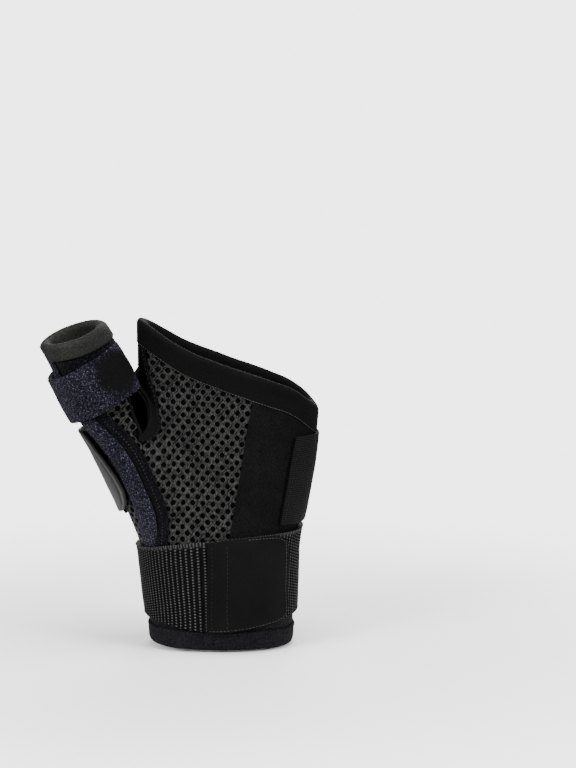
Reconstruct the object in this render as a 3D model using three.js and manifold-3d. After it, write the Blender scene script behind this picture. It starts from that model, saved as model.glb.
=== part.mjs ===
// Thumb spica splint for the left hand, fastened as it is worn.
// Millimetres. The origin is the middle of the wrist hollow, halfway up the wrist strap.
// +Z runs towards the fingers, the thumb leans to -X, and the palm side faces -Y.
// Every textile piece is a layer between two offsets of one form: a hand tube joined to a thumb tube.
import * as THREE from 'three';
import { mergeVertices } from 'three/addons/utils/BufferGeometryUtils.js';
import Module from 'manifold-3d';

const wasm = await Module();
wasm.setup();

// The hollow that the hand and thumb fill
const palmWidth = 70;
const palmDepth = 30;
const wristWidth = 59;
const wristDepth = 42;
const handRise = 110; // wrist centre up to the corner of the top edge beside the thumb
const hemDrop = 27.5; // wrist centre down to the bottom edge
const thumbWidth = 22;
const thumbReach = 61; // wrist centre out to the middle of the thumb rim
const thumbRise = 105; // wrist centre up to the middle of the thumb rim
const thumbForward = 12; // how far the thumb rim stands in front of the wrist centre

// Cloth, tape and the gap that is kept between pieces
const bodyCloth = 2.6;
const bindingTape = 0.8;
const seamTape = 0.9;
const stayPadding = 2.5;
const stayEndPadding = 0.9; // the stay sleeve is thin between the thumb strap and the rim
const strapCloth = 1.8;
const elasticCloth = 2.4;
const hookCloth = 1.3;
const gap = 0.3;

// Widths that show
const topBindingWidth = 9.5;
const hemBindingWidth = 7;
const thumbBindingWidth = 5;
const seamTapeWidth = 5.5;
const wristStrapWidth = 40;
const wristTabLength = 34;
const handStrapWidth = 37.5;
const thumbStrapWidth = 20.5;
const hookTabBackY = 6; // the hand strap's hook tab is sewn to the strap from here backwards

// The outer face of the body cloth and the gap on it, counted outwards from the skin
const onBody = bodyCloth + gap;

// Hand tube, a row for each height. up: share of handRise. palm: 0 has the wrist's size and 1 the palm's.
// swell: share of that width. shift: share of palmWidth, towards the little finger.
const handRows = [
  { up: -0.40, palm: 0.00, swell: 0.92, shift: 0.010 },
  { up: -0.24, palm: 0.00, swell: 0.93, shift: 0.010 },
  { up: -0.12, palm: 0.00, swell: 0.96, shift: 0.010 },
  { up: 0.02, palm: 0.00, swell: 1.00, shift: 0.004 },
  { up: 0.16, palm: 0.02, swell: 1.03, shift: 0.000 },
  { up: 0.28, palm: 0.35, swell: 1.02, shift: 0.022 },
  { up: 0.44, palm: 0.75, swell: 1.01, shift: 0.044 },
  { up: 0.62, palm: 1.00, swell: 1.00, shift: 0.056 },
  { up: 0.90, palm: 1.02, swell: 0.99, shift: 0.056 },
  { up: 1.20, palm: 1.02, swell: 0.98, shift: 0.056 },
];

// Thumb tube, a row for each station. out, fore and up: shares of thumbReach, thumbForward and thumbRise.
// side and depth: shares of thumbWidth. stay: where the stay sleeve's middle lies, degrees from the outer side
// towards the palm. half: share of thumbWidth, half the stay sleeve's width.
const thumbRows = [
  { out: 0.13, fore: 0.00, up: -0.04, side: 0.55, depth: 0.57, stay: 22, half: 0.18 },
  { out: 0.25, fore: 0.13, up: 0.13, side: 0.64, depth: 0.70, stay: 40, half: 0.18 },
  { out: 0.35, fore: 0.29, up: 0.29, side: 0.64, depth: 0.77, stay: 60, half: 0.18 },
  { out: 0.48, fore: 0.50, up: 0.44, side: 0.59, depth: 0.73, stay: 68, half: 0.17 },
  { out: 0.61, fore: 0.63, up: 0.59, side: 0.56, depth: 0.66, stay: 66, half: 0.17 },
  { out: 0.75, fore: 0.75, up: 0.73, side: 0.52, depth: 0.58, stay: 46, half: 0.19 },
  { out: 0.87, fore: 0.88, up: 0.87, side: 0.51, depth: 0.54, stay: 24, half: 0.21 },
  { out: 1.00, fore: 1.00, up: 1.00, side: 0.49, depth: 0.50, stay: 10, half: 0.22 },
  { out: 1.13, fore: 1.08, up: 1.12, side: 0.49, depth: 0.50, stay: 2, half: 0.22 },
];

const handSides = 32;
const handLevels = 12;
const thumbSides = 20;
const thumbLevels = 12;
const handSquareness = 2.4; // exponent of the hand tube's superellipse, 2 for a plain ellipse
const far = 90; // reach of a cutting solid past the splint
const palmFrontY = -2; // a cut that stays on the palm side ends here

// A function of position along a table that returns every column, with a smooth curve through the rows.
function rowCurve(rows, key) {
  const columns = Object.keys(rows[0]);
  const positions = rows.map((row, index) => (key ? row[key] : index));
  const values = rows.flatMap((row) => columns.map((column) => row[column]));
  const curve = new THREE.CubicInterpolant(positions, values, columns.length, new Float64Array(columns.length));
  return (at) => {
    const result = curve.evaluate(at);
    return Object.fromEntries(columns.map((column, index) => [column, result[index]]));
  };
}

const handAt = rowCurve(handRows, 'up');
const thumbAt = rowCurve(thumbRows);

// A closed three.js geometry as a solid.
function solidFrom(geometry) {
  const bare = geometry.index ? geometry.toNonIndexed() : geometry.clone();
  bare.deleteAttribute('normal');
  bare.deleteAttribute('uv');
  const merged = mergeVertices(bare, 1e-4);
  return new wasm.Manifold(new wasm.Mesh({
    numProp: 3,
    vertProperties: new Float32Array(merged.attributes.position.array),
    triVerts: new Uint32Array(merged.index.array),
  }));
}

// A solid through a list of rings with the same count of points, capped at both ends.
// Seen from the last ring, the points of a ring run anticlockwise.
function loft(rings) {
  const sides = rings[0].length;
  const points = rings.flat();
  const faces = [];
  for (let level = 0; level + 1 < rings.length; level++) {
    for (let side = 0; side < sides; side++) {
      const a = level * sides + side;
      const b = level * sides + (side + 1) % sides;
      faces.push(a, b, b + sides, a, b + sides, a + sides);
    }
  }
  const middle = (ring) => ring.reduce((sum, p) => sum.add(p), new THREE.Vector3()).divideScalar(sides);
  points.push(middle(rings[0]), middle(rings.at(-1)));
  const last = (rings.length - 1) * sides;
  for (let side = 0; side < sides; side++) {
    const next = (side + 1) % sides;
    faces.push(points.length - 2, next, side);
    faces.push(points.length - 1, last + side, last + next);
  }
  const geometry = new THREE.BufferGeometry().setFromPoints(points);
  geometry.setIndex(faces);
  return solidFrom(geometry);
}

const signedPower = (value, power) => Math.sign(value) * Math.abs(value) ** power;

// Point of the hand tube. turn: radians from the little finger's side towards the palm.
function handPoint(turn, up, offset) {
  const row = handAt(up);
  const halfWidth = THREE.MathUtils.lerp(wristWidth, palmWidth, row.palm) * row.swell / 2;
  const halfDepth = THREE.MathUtils.lerp(wristDepth, palmDepth, row.palm) * row.swell / 2;
  return new THREE.Vector3(
    row.shift * palmWidth + (halfWidth + offset) * signedPower(Math.cos(turn), 2 / handSquareness),
    -(halfDepth + offset) * signedPower(Math.sin(turn), 2 / handSquareness),
    up * handRise,
  );
}

const thumbLine = (row) => new THREE.Vector3(
  -row.out * thumbReach,
  -row.fore * thumbForward,
  row.up * thumbRise,
);

// Middle of the thumb tube and its directions: along, to the outer side, and to the palm side.
function thumbFrame(station) {
  const step = 0.05;
  const row = thumbAt(station);
  const along = thumbLine(thumbAt(station + step)).sub(thumbLine(thumbAt(station - step))).normalize();
  const outer = new THREE.Vector3().crossVectors(along, new THREE.Vector3(0, 1, 0)).normalize();
  const palmar = new THREE.Vector3().crossVectors(along, outer);
  return { row, middle: thumbLine(row), along, outer, palmar };
}

// Point of the thumb tube. turn: radians from the outer side towards the palm.
function thumbPoint(turn, station, offset) {
  const { row, middle, outer, palmar } = thumbFrame(station);
  return middle
    .addScaledVector(outer, (row.side * thumbWidth + offset) * Math.cos(turn))
    .addScaledVector(palmar, (row.depth * thumbWidth + offset) * Math.sin(turn));
}

const lastStation = thumbRows.length - 1;
const stayPlateau = 4; // how far past the stay sleeve's edge a strap keeps its height
const stayFall = 5; // and how far it then takes to come down to the body

// Share of the stay sleeve's height at a point of the thumb tube: 1 over it and 0 well past its edge.
function stayShare(turn, station) {
  const { stay, half, side } = thumbAt(station);
  const radius = side * thumbWidth;
  const swing = Math.abs(THREE.MathUtils.euclideanModulo(turn - THREE.MathUtils.degToRad(stay) + Math.PI, 2 * Math.PI) - Math.PI);
  const edge = half * thumbWidth + stayPlateau;
  return 1 - THREE.MathUtils.smoothstep(swing * radius, edge, edge + stayFall);
}

// The solids of the two tubes at an offset from the skin.
function handTube(offset) {
  const rings = [];
  for (let level = 0; level < handLevels; level++) {
    const up = THREE.MathUtils.lerp(handRows[0].up, handRows.at(-1).up, level / (handLevels - 1));
    rings.push(Array.from({ length: handSides }, (_, side) => handPoint(-side / handSides * 2 * Math.PI, up, offset)));
  }
  return loft(rings);
}

// overStay is how much higher the thumb tube is over the stay sleeve.
function thumbTube(offset, overStay = 0) {
  const rings = [];
  for (let level = 0; level < thumbLevels; level++) {
    const station = level / (thumbLevels - 1) * lastStation;
    rings.push(Array.from({ length: thumbSides }, (_, side) => {
      const turn = side / thumbSides * 2 * Math.PI;
      return thumbPoint(turn, station, offset + overStay * stayShare(turn, station));
    }));
  }
  return loft(rings);
}

const form = (offset, overStay = 0) => handTube(offset).add(thumbTube(offset, overStay));
const layer = (inner, outer, overStay = 0) => form(outer, overStay).subtract(form(inner, overStay));

// A cutting solid: an outline in the front view, in x and z, run from one y to another.
function frontCut(shape, nearY = -far, farY = far, curveSegments = 8) {
  const depth = farY - nearY;
  const geometry = new THREE.ExtrudeGeometry(shape, { depth, bevelEnabled: false, curveSegments });
  return solidFrom(geometry.rotateX(Math.PI / 2).translate(0, farY, 0));
}

// A cutting solid: everything on the side of a plane that its normal points to.
function halfSpace(point, normal) {
  const size = 4 * far;
  const geometry = new THREE.BoxGeometry(size, size, size).translate(0, 0, size / 2);
  const turn = new THREE.Quaternion().setFromUnitVectors(new THREE.Vector3(0, 0, 1), normal.clone().normalize());
  return solidFrom(geometry.applyQuaternion(turn).translate(point.x, point.y, point.z));
}

// A cutting solid: a thick patch of the thumb tube. from and to give the turn in radians at a station.
function thumbPatch(stations, from, to, inner, outer) {
  const across = 8;
  const rings = stations.map((station) => {
    const arc = Array.from({ length: across + 1 }, (_, i) => THREE.MathUtils.lerp(from(station), to(station), i / across));
    return [
      ...arc.map((turn) => thumbPoint(turn, station, outer)),
      ...arc.reverse().map((turn) => thumbPoint(turn, station, inner)),
    ];
  });
  return loft(rings);
}

const range = (start, end, steps) => Array.from({ length: steps + 1 }, (_, i) => start + (end - start) * i / steps);
const shapeThrough = (points) => new THREE.Shape(points.map(([x, z]) => new THREE.Vector2(x, z)));
const across = (share) => share * palmWidth / 2;
const upHand = (share) => share * handRise;

// The top edge of the splint seen from the front. x: share of half the palm's width. z: share of handRise.
const topEdgeRows = [
  { x: -1.60, z: 1.130 },
  { x: -0.95, z: 1.005 },
  { x: -0.41, z: 0.899 },
  { x: 0.10, z: 0.835 },
  { x: 0.60, z: 0.778 },
  { x: 0.92, z: 0.734 },
  { x: 1.20, z: 0.655 },
  { x: 1.60, z: 0.500 },
];

// Everything above the top edge, lowered by a distance.
function aboveTopEdge(lowered) {
  const edge = new THREE.SplineCurve(topEdgeRows.map(({ x, z }) => new THREE.Vector2(across(x), upHand(z) - lowered)));
  const shape = new THREE.Shape(edge.getPoints(14));
  shape.lineTo(across(topEdgeRows.at(-1).x), upHand(1) + far);
  shape.lineTo(across(topEdgeRows[0].x), upHand(1) + far);
  return frontCut(shape);
}

// Everything below a level, which drops a little towards the little finger's side.
const hemTilt = 0.02;
const belowHem = (raised) => halfSpace(new THREE.Vector3(0, 0, -hemDrop + raised), new THREE.Vector3(-hemTilt, 0, -1));

// The thumb rim's plane, lowered by a distance. It is cut less steeply than square to the thumb.
const rimTilt = THREE.MathUtils.degToRad(19);
const rimNormal = new THREE.Vector3(-Math.sin(rimTilt), -0.17, Math.cos(rimTilt)).normalize();
const rimMiddle = new THREE.Vector3(-thumbReach, -thumbForward, thumbRise);
const aboveRim = (lowered) => halfSpace(rimMiddle.clone().addScaledVector(rimNormal, -lowered), rimNormal);

// The thumb's side of a plane that stands in the cleft between the two tubes.
const cleft = -across(1.045);
const thumbSide = (shift = 0) => halfSpace(new THREE.Vector3(cleft - shift, 0, 0), new THREE.Vector3(-1, 0, 0));
const handSide = halfSpace(new THREE.Vector3(cleft, 0, 0), new THREE.Vector3(1, 0, 0));

// The web opening between thumb and hand: an almond whose upper end reaches into the cleft.
const webTop = { x: across(-1.055), z: upHand(0.762) };
const webBottom = { x: across(-0.90), z: upHand(0.582) };
const webBulge = 6.2; // how far the almond's hand side bows out
const webHollow = 1.0;

function webOutline(grown) {
  const shape = new THREE.Shape();
  const height = webTop.z - webBottom.z;
  shape.moveTo(webTop.x, webTop.z + grown);
  shape.bezierCurveTo(
    webTop.x - webHollow - grown, webTop.z - height * 0.35,
    webBottom.x - webHollow - grown, webBottom.z + height * 0.3 - grown,
    webBottom.x, webBottom.z - grown,
  );
  shape.bezierCurveTo(
    webBottom.x + webBulge + grown, webBottom.z + height * 0.22 - grown,
    webTop.x + webBulge + grown, webTop.z - height * 0.25,
    webTop.x, webTop.z + grown,
  );
  return shape;
}

// Outlines of the two mesh panels and the web facing, in the front view.
// x: share of half the palm's width. z: share of handRise.
const palmMeshOutline = [
  { x: 0.11, z: 0.11 }, { x: 0.22, z: 0.24 }, { x: 0.31, z: 0.36 }, { x: 0.37, z: 0.48 }, { x: 0.43, z: 0.60 },
  { x: 0.45, z: 0.90 }, { x: -2.40, z: 1.30 }, { x: -2.40, z: 0.70 }, { x: -1.51, z: 0.64 }, { x: -1.29, z: 0.56 },
  { x: -1.09, z: 0.48 }, { x: -0.93, z: 0.38 }, { x: -0.82, z: 0.26 }, { x: -0.75, z: 0.11 },
];
const backMeshOutline = [
  { x: 0.30, z: 0.11 }, { x: 0.45, z: 0.45 }, { x: 0.48, z: 0.90 }, { x: -0.30, z: 1.30 }, { x: -2.40, z: 1.30 },
  { x: -2.40, z: 0.11 },
];
const webFacingOutline = [
  { x: -0.83, z: 0.95 }, { x: -0.834, z: 0.891 }, { x: -0.811, z: 0.796 }, { x: -0.73, z: 0.741 }, { x: -0.70, z: 0.67 },
  { x: -0.70, z: 0.613 }, { x: -0.774, z: 0.566 }, { x: -0.914, z: 0.558 }, { x: -1.06, z: 0.60 }, { x: -1.06, z: 0.95 },
];
const outlineShape = (rows) => shapeThrough(rows.map(({ x, z }) => [across(x), upHand(z)]));

// The same outline moved outwards by a distance.
function grownShape(rows, grown) {
  const points = rows.map(({ x, z }) => new THREE.Vector2(across(x), upHand(z)));
  const turning = Math.sign(THREE.ShapeUtils.area(points));
  const corners = points.map((point, i) => {
    const before = points.at(i - 1);
    const after = points[(i + 1) % points.length];
    const normalIn = new THREE.Vector2(point.y - before.y, before.x - point.x).normalize();
    const normalOut = new THREE.Vector2(after.y - point.y, point.x - after.x).normalize();
    const bisector = normalIn.clone().add(normalOut).normalize();
    return point.clone().addScaledVector(bisector, turning * grown / Math.max(0.5, bisector.dot(normalIn)));
  });
  return new THREE.Shape(corners);
}

// Body cloth

const bodyShell = layer(0, bodyCloth)
  .subtract(aboveTopEdge(bindingTape + gap).intersect(handSide))
  .subtract(belowHem(bindingTape + gap))
  .subtract(aboveRim(bindingTape + gap).intersect(thumbSide()))
  .subtract(frontCut(webOutline(0), -far, palmFrontY));

const sleeveStation = 5.66; // where the thumb sleeve is sewn to the body
const sleeveFrame = thumbFrame(sleeveStation);
const sleeveCut = (shift) => halfSpace(sleeveFrame.middle.clone().addScaledVector(sleeveFrame.along, shift), sleeveFrame.along)
  .intersect(thumbSide(shift));
const thumbSleeveSolid = bodyShell.intersect(sleeveCut(0));
const palmMeshSolid = bodyShell
  .intersect(frontCut(outlineShape(palmMeshOutline), -far, palmFrontY))
  .subtract(sleeveCut(-gap));
const palmMeshHole = frontCut(grownShape(palmMeshOutline, gap), -far, palmFrontY + gap);
const backMeshSolid = bodyShell
  .intersect(frontCut(outlineShape(backMeshOutline)).intersect(
    halfSpace(new THREE.Vector3(0, 2, 0), new THREE.Vector3(0, 1, 0)).add(thumbSide(-14)),
  ))
  .subtract(palmMeshHole)
  .subtract(sleeveCut(-gap));
const backMeshHole = frontCut(grownShape(backMeshOutline, gap)).intersect(
  halfSpace(new THREE.Vector3(0, 2 - gap, 0), new THREE.Vector3(0, 1, 0)).add(thumbSide(-14 - gap)),
);
const handWrapSolid = bodyShell
  .subtract(palmMeshHole)
  .subtract(backMeshHole)
  .subtract(sleeveCut(-gap));

// Bindings: a tape folded over an edge, with a leg on each side of the cloth

const tapeFold = (tube) => tube(onBody + bindingTape).subtract(tube(-gap - bindingTape));
const tapeRoom = (tube) => tube(onBody).subtract(tube(-gap));
const topBindingSolid = tapeFold(handTube)
  .intersect(aboveTopEdge(topBindingWidth))
  .subtract(aboveTopEdge(0))
  .subtract(tapeRoom(handTube).subtract(aboveTopEdge(bindingTape)));
const hemBindingSolid = tapeFold(handTube)
  .intersect(belowHem(hemBindingWidth))
  .subtract(belowHem(0))
  .subtract(tapeRoom(handTube).subtract(belowHem(bindingTape)));
const thumbBindingSolid = tapeFold(thumbTube)
  .intersect(aboveRim(thumbBindingWidth).intersect(thumbSide()))
  .subtract(aboveRim(0))
  .subtract(tapeRoom(thumbTube).subtract(aboveRim(bindingTape)));

// Straps

const stayTurn = (station) => THREE.MathUtils.degToRad(thumbAt(station).stay);
const stayHalfTurn = (station, extra = 0) => {
  const { half, side } = thumbAt(station);
  return (half * thumbWidth + extra) / (side * thumbWidth + onBody);
};
const cutIn = -6;
const cutOut = 18;
const constant = (degrees) => () => THREE.MathUtils.degToRad(degrees);

// Wrist strap: an elastic ring, deeper at the palm and the back than at its two sides.
const sideWay = wristWidth * 0.75;
function wristBand(lessAtEnds) {
  const half = wristStrapWidth / 2 - lessAtEnds;
  const shape = new THREE.Shape();
  shape.moveTo(-sideWay, half * 0.58);
  shape.quadraticCurveTo(0, half * 1.13, sideWay, half * 1.08);
  shape.lineTo(sideWay, -half * 0.52);
  shape.quadraticCurveTo(0, -half * 1.42, -sideWay, -half * 0.57);
  return shape;
}
const wristStrapSolid = layer(onBody, onBody + elasticCloth).intersect(frontCut(wristBand(0)));
const onWristStrap = onBody + elasticCloth + gap;
const wristTabLeft = -4.5;
const wristTabCorner = 6;
function wristTabOutline() {
  const right = wristTabLeft + wristTabLength;
  const high = wristStrapWidth / 2 + 2;
  const low = -wristStrapWidth / 2 - 2;
  const shape = new THREE.Shape();
  shape.moveTo(wristTabLeft, low);
  shape.lineTo(right - wristTabCorner, low);
  shape.quadraticCurveTo(right, low + 3, right, low + wristTabCorner * 1.5);
  shape.lineTo(right, high - wristTabCorner * 1.5);
  shape.quadraticCurveTo(right, high - 2, right - wristTabCorner, high);
  shape.lineTo(wristTabLeft, high);
  return shape;
}
const wristTabSolid = layer(onWristStrap, onWristStrap + hookCloth)
  .intersect(frontCut(wristBand(0.8)))
  .intersect(frontCut(wristTabOutline(), -far, 0));

// Stay sleeve and the taped seam beside it. Both end at the wrist strap's upper edge.

const thumbStrapFrom = 5.03;
const strapMiddle = Math.round(thumbStrapFrom);
const stationLength = thumbLine(thumbAt(strapMiddle)).distanceTo(thumbLine(thumbAt(strapMiddle + 1)));
const thumbStrapTo = thumbStrapFrom + thumbStrapWidth / stationLength;
const stayStations = range(0.6, lastStation - 1, 16);
const aboveWristStrap = solidFrom(new THREE.BoxGeometry(4 * far, 4 * far, 2 * far).translate(0, 0, far + 10))
  .subtract(frontCut(wristBand(-gap)));
const stayPatch = (reach, from = (s) => stayTurn(s) - stayHalfTurn(s), end = lastStation) => thumbPatch(
  stayStations.filter((station) => station < end),
  from,
  (s) => stayTurn(s) + stayHalfTurn(s, reach),
  cutIn,
  cutOut,
);
const staySleeveSolid = layer(onBody, onBody + stayPadding)
  .intersect(stayPatch(0))
  .intersect(aboveWristStrap)
  .subtract(aboveRim(thumbBindingWidth + gap))
  .subtract(thumbPatch(
    [thumbStrapTo, thumbStrapTo + 1, lastStation],
    (s) => stayTurn(s) - 2 * stayHalfTurn(s),
    (s) => stayTurn(s) + 2 * stayHalfTurn(s),
    onBody + stayEndPadding,
    cutOut,
  ));
const seamTapeSolid = layer(onBody, onBody + seamTape)
  .intersect(stayPatch(gap + seamTapeWidth, stayTurn, thumbStrapFrom))
  .subtract(stayPatch(gap))
  .intersect(aboveWristStrap);

// Thumb strap: it runs from the web round the back and the outer side to the front, over the stay sleeve.

const stayRaise = stayPadding + gap;
const strapBehind = -140; // degrees from the thumb's outer side: where the strap starts, behind the thumb
const strapAhead = 40; // the strap is clear of the web up to here
const strapWeb = 160; // where the strap ends, in the web
const hookTurns = [98, 158];
const flapTurns = [-75, -12];
const webSidePlane = halfSpace(new THREE.Vector3(across(-1.00), 0, 0), new THREE.Vector3(-1, 0, 0));
const thumbStrapArc = (from, to, less) => thumbPatch(
  range(thumbStrapFrom + less, thumbStrapTo - less, 4),
  constant(from),
  constant(to),
  cutIn,
  cutOut,
).intersect(webSidePlane);
const thumbStrapSolid = layer(onBody, onBody + strapCloth, stayRaise)
  .intersect(thumbStrapArc(strapBehind, strapAhead, 0).intersect(thumbSide(2))
    .add(thumbStrapArc(strapAhead - 10, strapWeb, 0)));
const onThumbStrap = onBody + strapCloth + gap;
const thumbHookSolid = layer(onThumbStrap, onThumbStrap + hookCloth, stayRaise)
  .intersect(thumbStrapArc(...hookTurns, 0.04));
const thumbStrapTabSolid = layer(onThumbStrap, onThumbStrap + hookCloth, stayRaise)
  .intersect(thumbStrapArc(...flapTurns, 0.1));

// Web facing: smooth cloth on the palm side, from the top binding down the hand side of the web opening

const roundStrap = thumbStrapArc(strapAhead - 10, strapWeb + 8, -0.05);
const webFacingSolid = layer(onBody, onBody + bindingTape)
  .intersect(frontCut(outlineShape(webFacingOutline), -far, palmFrontY))
  .subtract(frontCut(webOutline(gap)))
  .subtract(roundStrap.add(roundStrap.translate(gap, 0, 0)))
  .subtract(thumbSide(-gap))
  .subtract(aboveTopEdge(topBindingWidth + gap))
  .subtract(stayPatch(2 * gap + seamTapeWidth, stayTurn, thumbStrapFrom))
  .intersect(halfSpace(new THREE.Vector3(webBottom.x - 1, 0, webBottom.z), new THREE.Vector3(1, 0, 0.24)));

// Hand strap: from the little finger's side across the back to the thumb's base, where its hook tab ends

const handStrapRows = [
  { x: -1.66, z: 0.606 }, { x: -1.60, z: 0.590 }, { x: -1.48, z: 0.536 }, { x: -1.36, z: 0.489 },
  { x: -1.24, z: 0.435 }, { x: -1.15, z: 0.380 }, { x: -1.12, z: 0.335 }, { x: -1.15, z: 0.290 },
  { x: -1.27, z: 0.268 },
];
function hookOutline(less) {
  const points = handStrapRows.map(({ x, z }) => new THREE.Vector2(across(x) - less, upHand(z)));
  const shape = new THREE.Shape(points);
  shape.lineTo(-far, upHand(handStrapRows.at(-1).z));
  shape.lineTo(-far, upHand(handStrapRows[0].z));
  return shape;
}
function strapBand(less) {
  const low = upHand(0.222) + less;
  const high = low + handStrapWidth - 2 * less;
  const tilt = 3.5;
  return shapeThrough([[-far, low + tilt], [far, low], [far, high], [-far, high + tilt]]);
}
const strapEnd = shapeThrough([
  [across(0.73), upHand(0.20)], [far, upHand(0.20)], [far, upHand(0.62)], [across(0.96), upHand(0.62)],
]);
const backOfHand = halfSpace(new THREE.Vector3(0, 0, 0), new THREE.Vector3(0, 1, 0));
const onHandStrap = onBody + strapCloth + gap;
const handStrapSolid = layer(onBody, onBody + strapCloth)
  .intersect(frontCut(strapBand(0)))
  .intersect(backOfHand.add(frontCut(strapEnd)).add(frontCut(hookOutline(1.5))))
  .subtract(aboveTopEdge(topBindingWidth + 2 * gap));
const handStrapTabSolid = layer(onHandStrap, onHandStrap + hookCloth)
  .intersect(frontCut(hookOutline(0), -far, hookTabBackY));

const pieces = new THREE.Group();
const black = { color: 0x17171a, roughness: 0.85, metalness: 0 };
const navy = { color: 0x25243a, roughness: 0.95, metalness: 0 };
const grey = { color: 0x3a3a3c, roughness: 0.6, metalness: 0 };

function addPiece(name, solid, finish) {
  const mesh = solid.getMesh();
  const geometry = new THREE.BufferGeometry();
  geometry.setAttribute('position', new THREE.BufferAttribute(mesh.vertProperties, 3));
  geometry.setIndex(new THREE.BufferAttribute(mesh.triVerts, 1));
  geometry.computeVertexNormals();
  const piece = new THREE.Mesh(geometry, new THREE.MeshStandardMaterial(finish));
  piece.name = name;
  pieces.add(piece);
}

addPiece('hand_wrap', handWrapSolid, black);
addPiece('palm_mesh', palmMeshSolid, grey);
addPiece('back_mesh', backMeshSolid, grey);
addPiece('thumb_sleeve', thumbSleeveSolid, navy);
addPiece('top_binding', topBindingSolid, black);
addPiece('hem_binding', hemBindingSolid, black);
addPiece('thumb_binding', thumbBindingSolid, grey);
addPiece('web_facing', webFacingSolid, black);
addPiece('stay_sleeve', staySleeveSolid, navy);
addPiece('seam_tape', seamTapeSolid, black);
addPiece('thumb_strap', thumbStrapSolid, navy);
addPiece('thumb_strap_tab', thumbStrapTabSolid, black);
addPiece('thumb_hook_tab', thumbHookSolid, black);
addPiece('hand_strap', handStrapSolid, black);
addPiece('hand_strap_tab', handStrapTabSolid, grey);
addPiece('wrist_strap', wristStrapSolid, black);
addPiece('wrist_strap_tab', wristTabSolid, black);

export default pieces;
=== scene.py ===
# %% [markdown]
# # A thumb spica splint, dressed in cloth
# The splint is a padded cloth shell for a left hand, held up in the shape that it has when it is worn.
# The imported model gives every piece its place. This script lays real cloth over the same form: a knitted lining,
# air mesh with open holes, ribbed elastic, napped straps, smooth hook tabs, folded tape and rows of stitches.
# All lengths in the tables are millimetres, and they become metres when a point is written into a mesh.

# %% Load the imported model and keep its parts
import math

import bmesh
import bpy
import numpy as np
from mathutils import Matrix, Vector, noise
from mathutils.bvhtree import BVHTree


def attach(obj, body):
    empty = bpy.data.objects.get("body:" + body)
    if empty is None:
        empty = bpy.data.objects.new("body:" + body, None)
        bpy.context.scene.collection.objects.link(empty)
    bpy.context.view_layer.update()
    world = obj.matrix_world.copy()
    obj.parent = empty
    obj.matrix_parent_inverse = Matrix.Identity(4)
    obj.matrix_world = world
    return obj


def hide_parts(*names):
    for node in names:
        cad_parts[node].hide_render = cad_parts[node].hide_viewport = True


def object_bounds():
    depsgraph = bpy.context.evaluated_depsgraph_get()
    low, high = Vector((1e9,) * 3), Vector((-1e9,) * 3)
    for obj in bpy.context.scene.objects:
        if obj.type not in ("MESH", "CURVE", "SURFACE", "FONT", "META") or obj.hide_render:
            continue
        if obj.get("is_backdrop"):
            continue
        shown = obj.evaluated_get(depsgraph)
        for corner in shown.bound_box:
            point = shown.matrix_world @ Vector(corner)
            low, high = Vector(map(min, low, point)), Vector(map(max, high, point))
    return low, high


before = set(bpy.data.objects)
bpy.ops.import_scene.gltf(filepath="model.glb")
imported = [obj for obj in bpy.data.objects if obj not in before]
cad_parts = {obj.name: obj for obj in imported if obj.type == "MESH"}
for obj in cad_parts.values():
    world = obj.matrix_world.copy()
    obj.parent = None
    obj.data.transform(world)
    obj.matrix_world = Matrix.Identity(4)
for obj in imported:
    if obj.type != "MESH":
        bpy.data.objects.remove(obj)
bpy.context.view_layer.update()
MM = 0.001

# %% [markdown]
# ## Camera, light and floor
# The splint was photographed from a little above, with a long lens, against white. The same view needs a lens of
# 120 mm at about 1.1 m, looking 8 degrees down. Black cloth shows its weave only where a broad light grazes it, so
# two wide soft lights stand at the sides and a third one hangs over the top.

# %% Camera
camera_data = bpy.data.cameras.new("camera")
camera_data.lens = 119.9
camera_data.sensor_width = 36
camera = bpy.data.objects.new("camera", camera_data)
camera.location = (0.02967, -1.07792, 0.2340)
camera.rotation_euler = (math.radians(82), 0, 0)
bpy.context.collection.objects.link(camera)
bpy.context.scene.camera = camera


# %% Soft lights and a pale surrounding
def soft_light(name, place, target, size, watts):
    data = bpy.data.lights.new(name, "AREA")
    data.shape = "DISK"
    data.size = size
    data.energy = watts
    light = bpy.data.objects.new(name, data)
    light.location = place
    light.rotation_euler = (Vector(target) - Vector(place)).to_track_quat("-Z", "Y").to_euler()
    bpy.context.collection.objects.link(light)


middle = (-0.01, 0.0, 0.04)
soft_light("light_left", (-0.75, -0.75, 0.55), middle, 0.5, 17)
soft_light("light_right", (0.85, -0.55, 0.45), middle, 0.5, 13)
soft_light("light_top", (0.05, -0.15, 1.0), middle, 0.6, 12)
soft_light("light_back", (0.1, 0.9, 0.6), middle, 0.6, 10)
world = bpy.data.worlds.new("pale_room")
world.use_nodes = True
room = world.node_tree
backdrop = room.nodes["Background"]
backdrop.inputs["Color"].default_value = (1, 1, 1, 1)
seen = room.nodes.new("ShaderNodeLightPath")
level = room.nodes.new("ShaderNodeMapRange")
level.inputs["To Min"].default_value = 0.6
level.inputs["To Max"].default_value = 4.0
room.links.new(seen.outputs["Is Camera Ray"], level.inputs["Value"])
room.links.new(level.outputs["Result"], backdrop.inputs["Strength"])
bpy.context.scene.world = world

# %% [markdown]
# ## The form under the cloth
# A glove maker works over a wooden hand. Here the wooden hand is two tubes, one for the hand and one for the thumb.
# Short tables give their size at a few heights, and a smooth curve runs through the rows. The rows repeat the
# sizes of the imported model, so each piece of cloth lands where its solid is.

# %% Tables of the two tubes
PALM_WIDE, PALM_DEEP, WRIST_WIDE, WRIST_DEEP = 70, 30, 59, 42
HAND_RISE, HEM_DROP = 110, 27.5
THUMB_WIDE, THUMB_REACH, THUMB_RISE, THUMB_FORWARD = 22, 61, 105, 12
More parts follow.
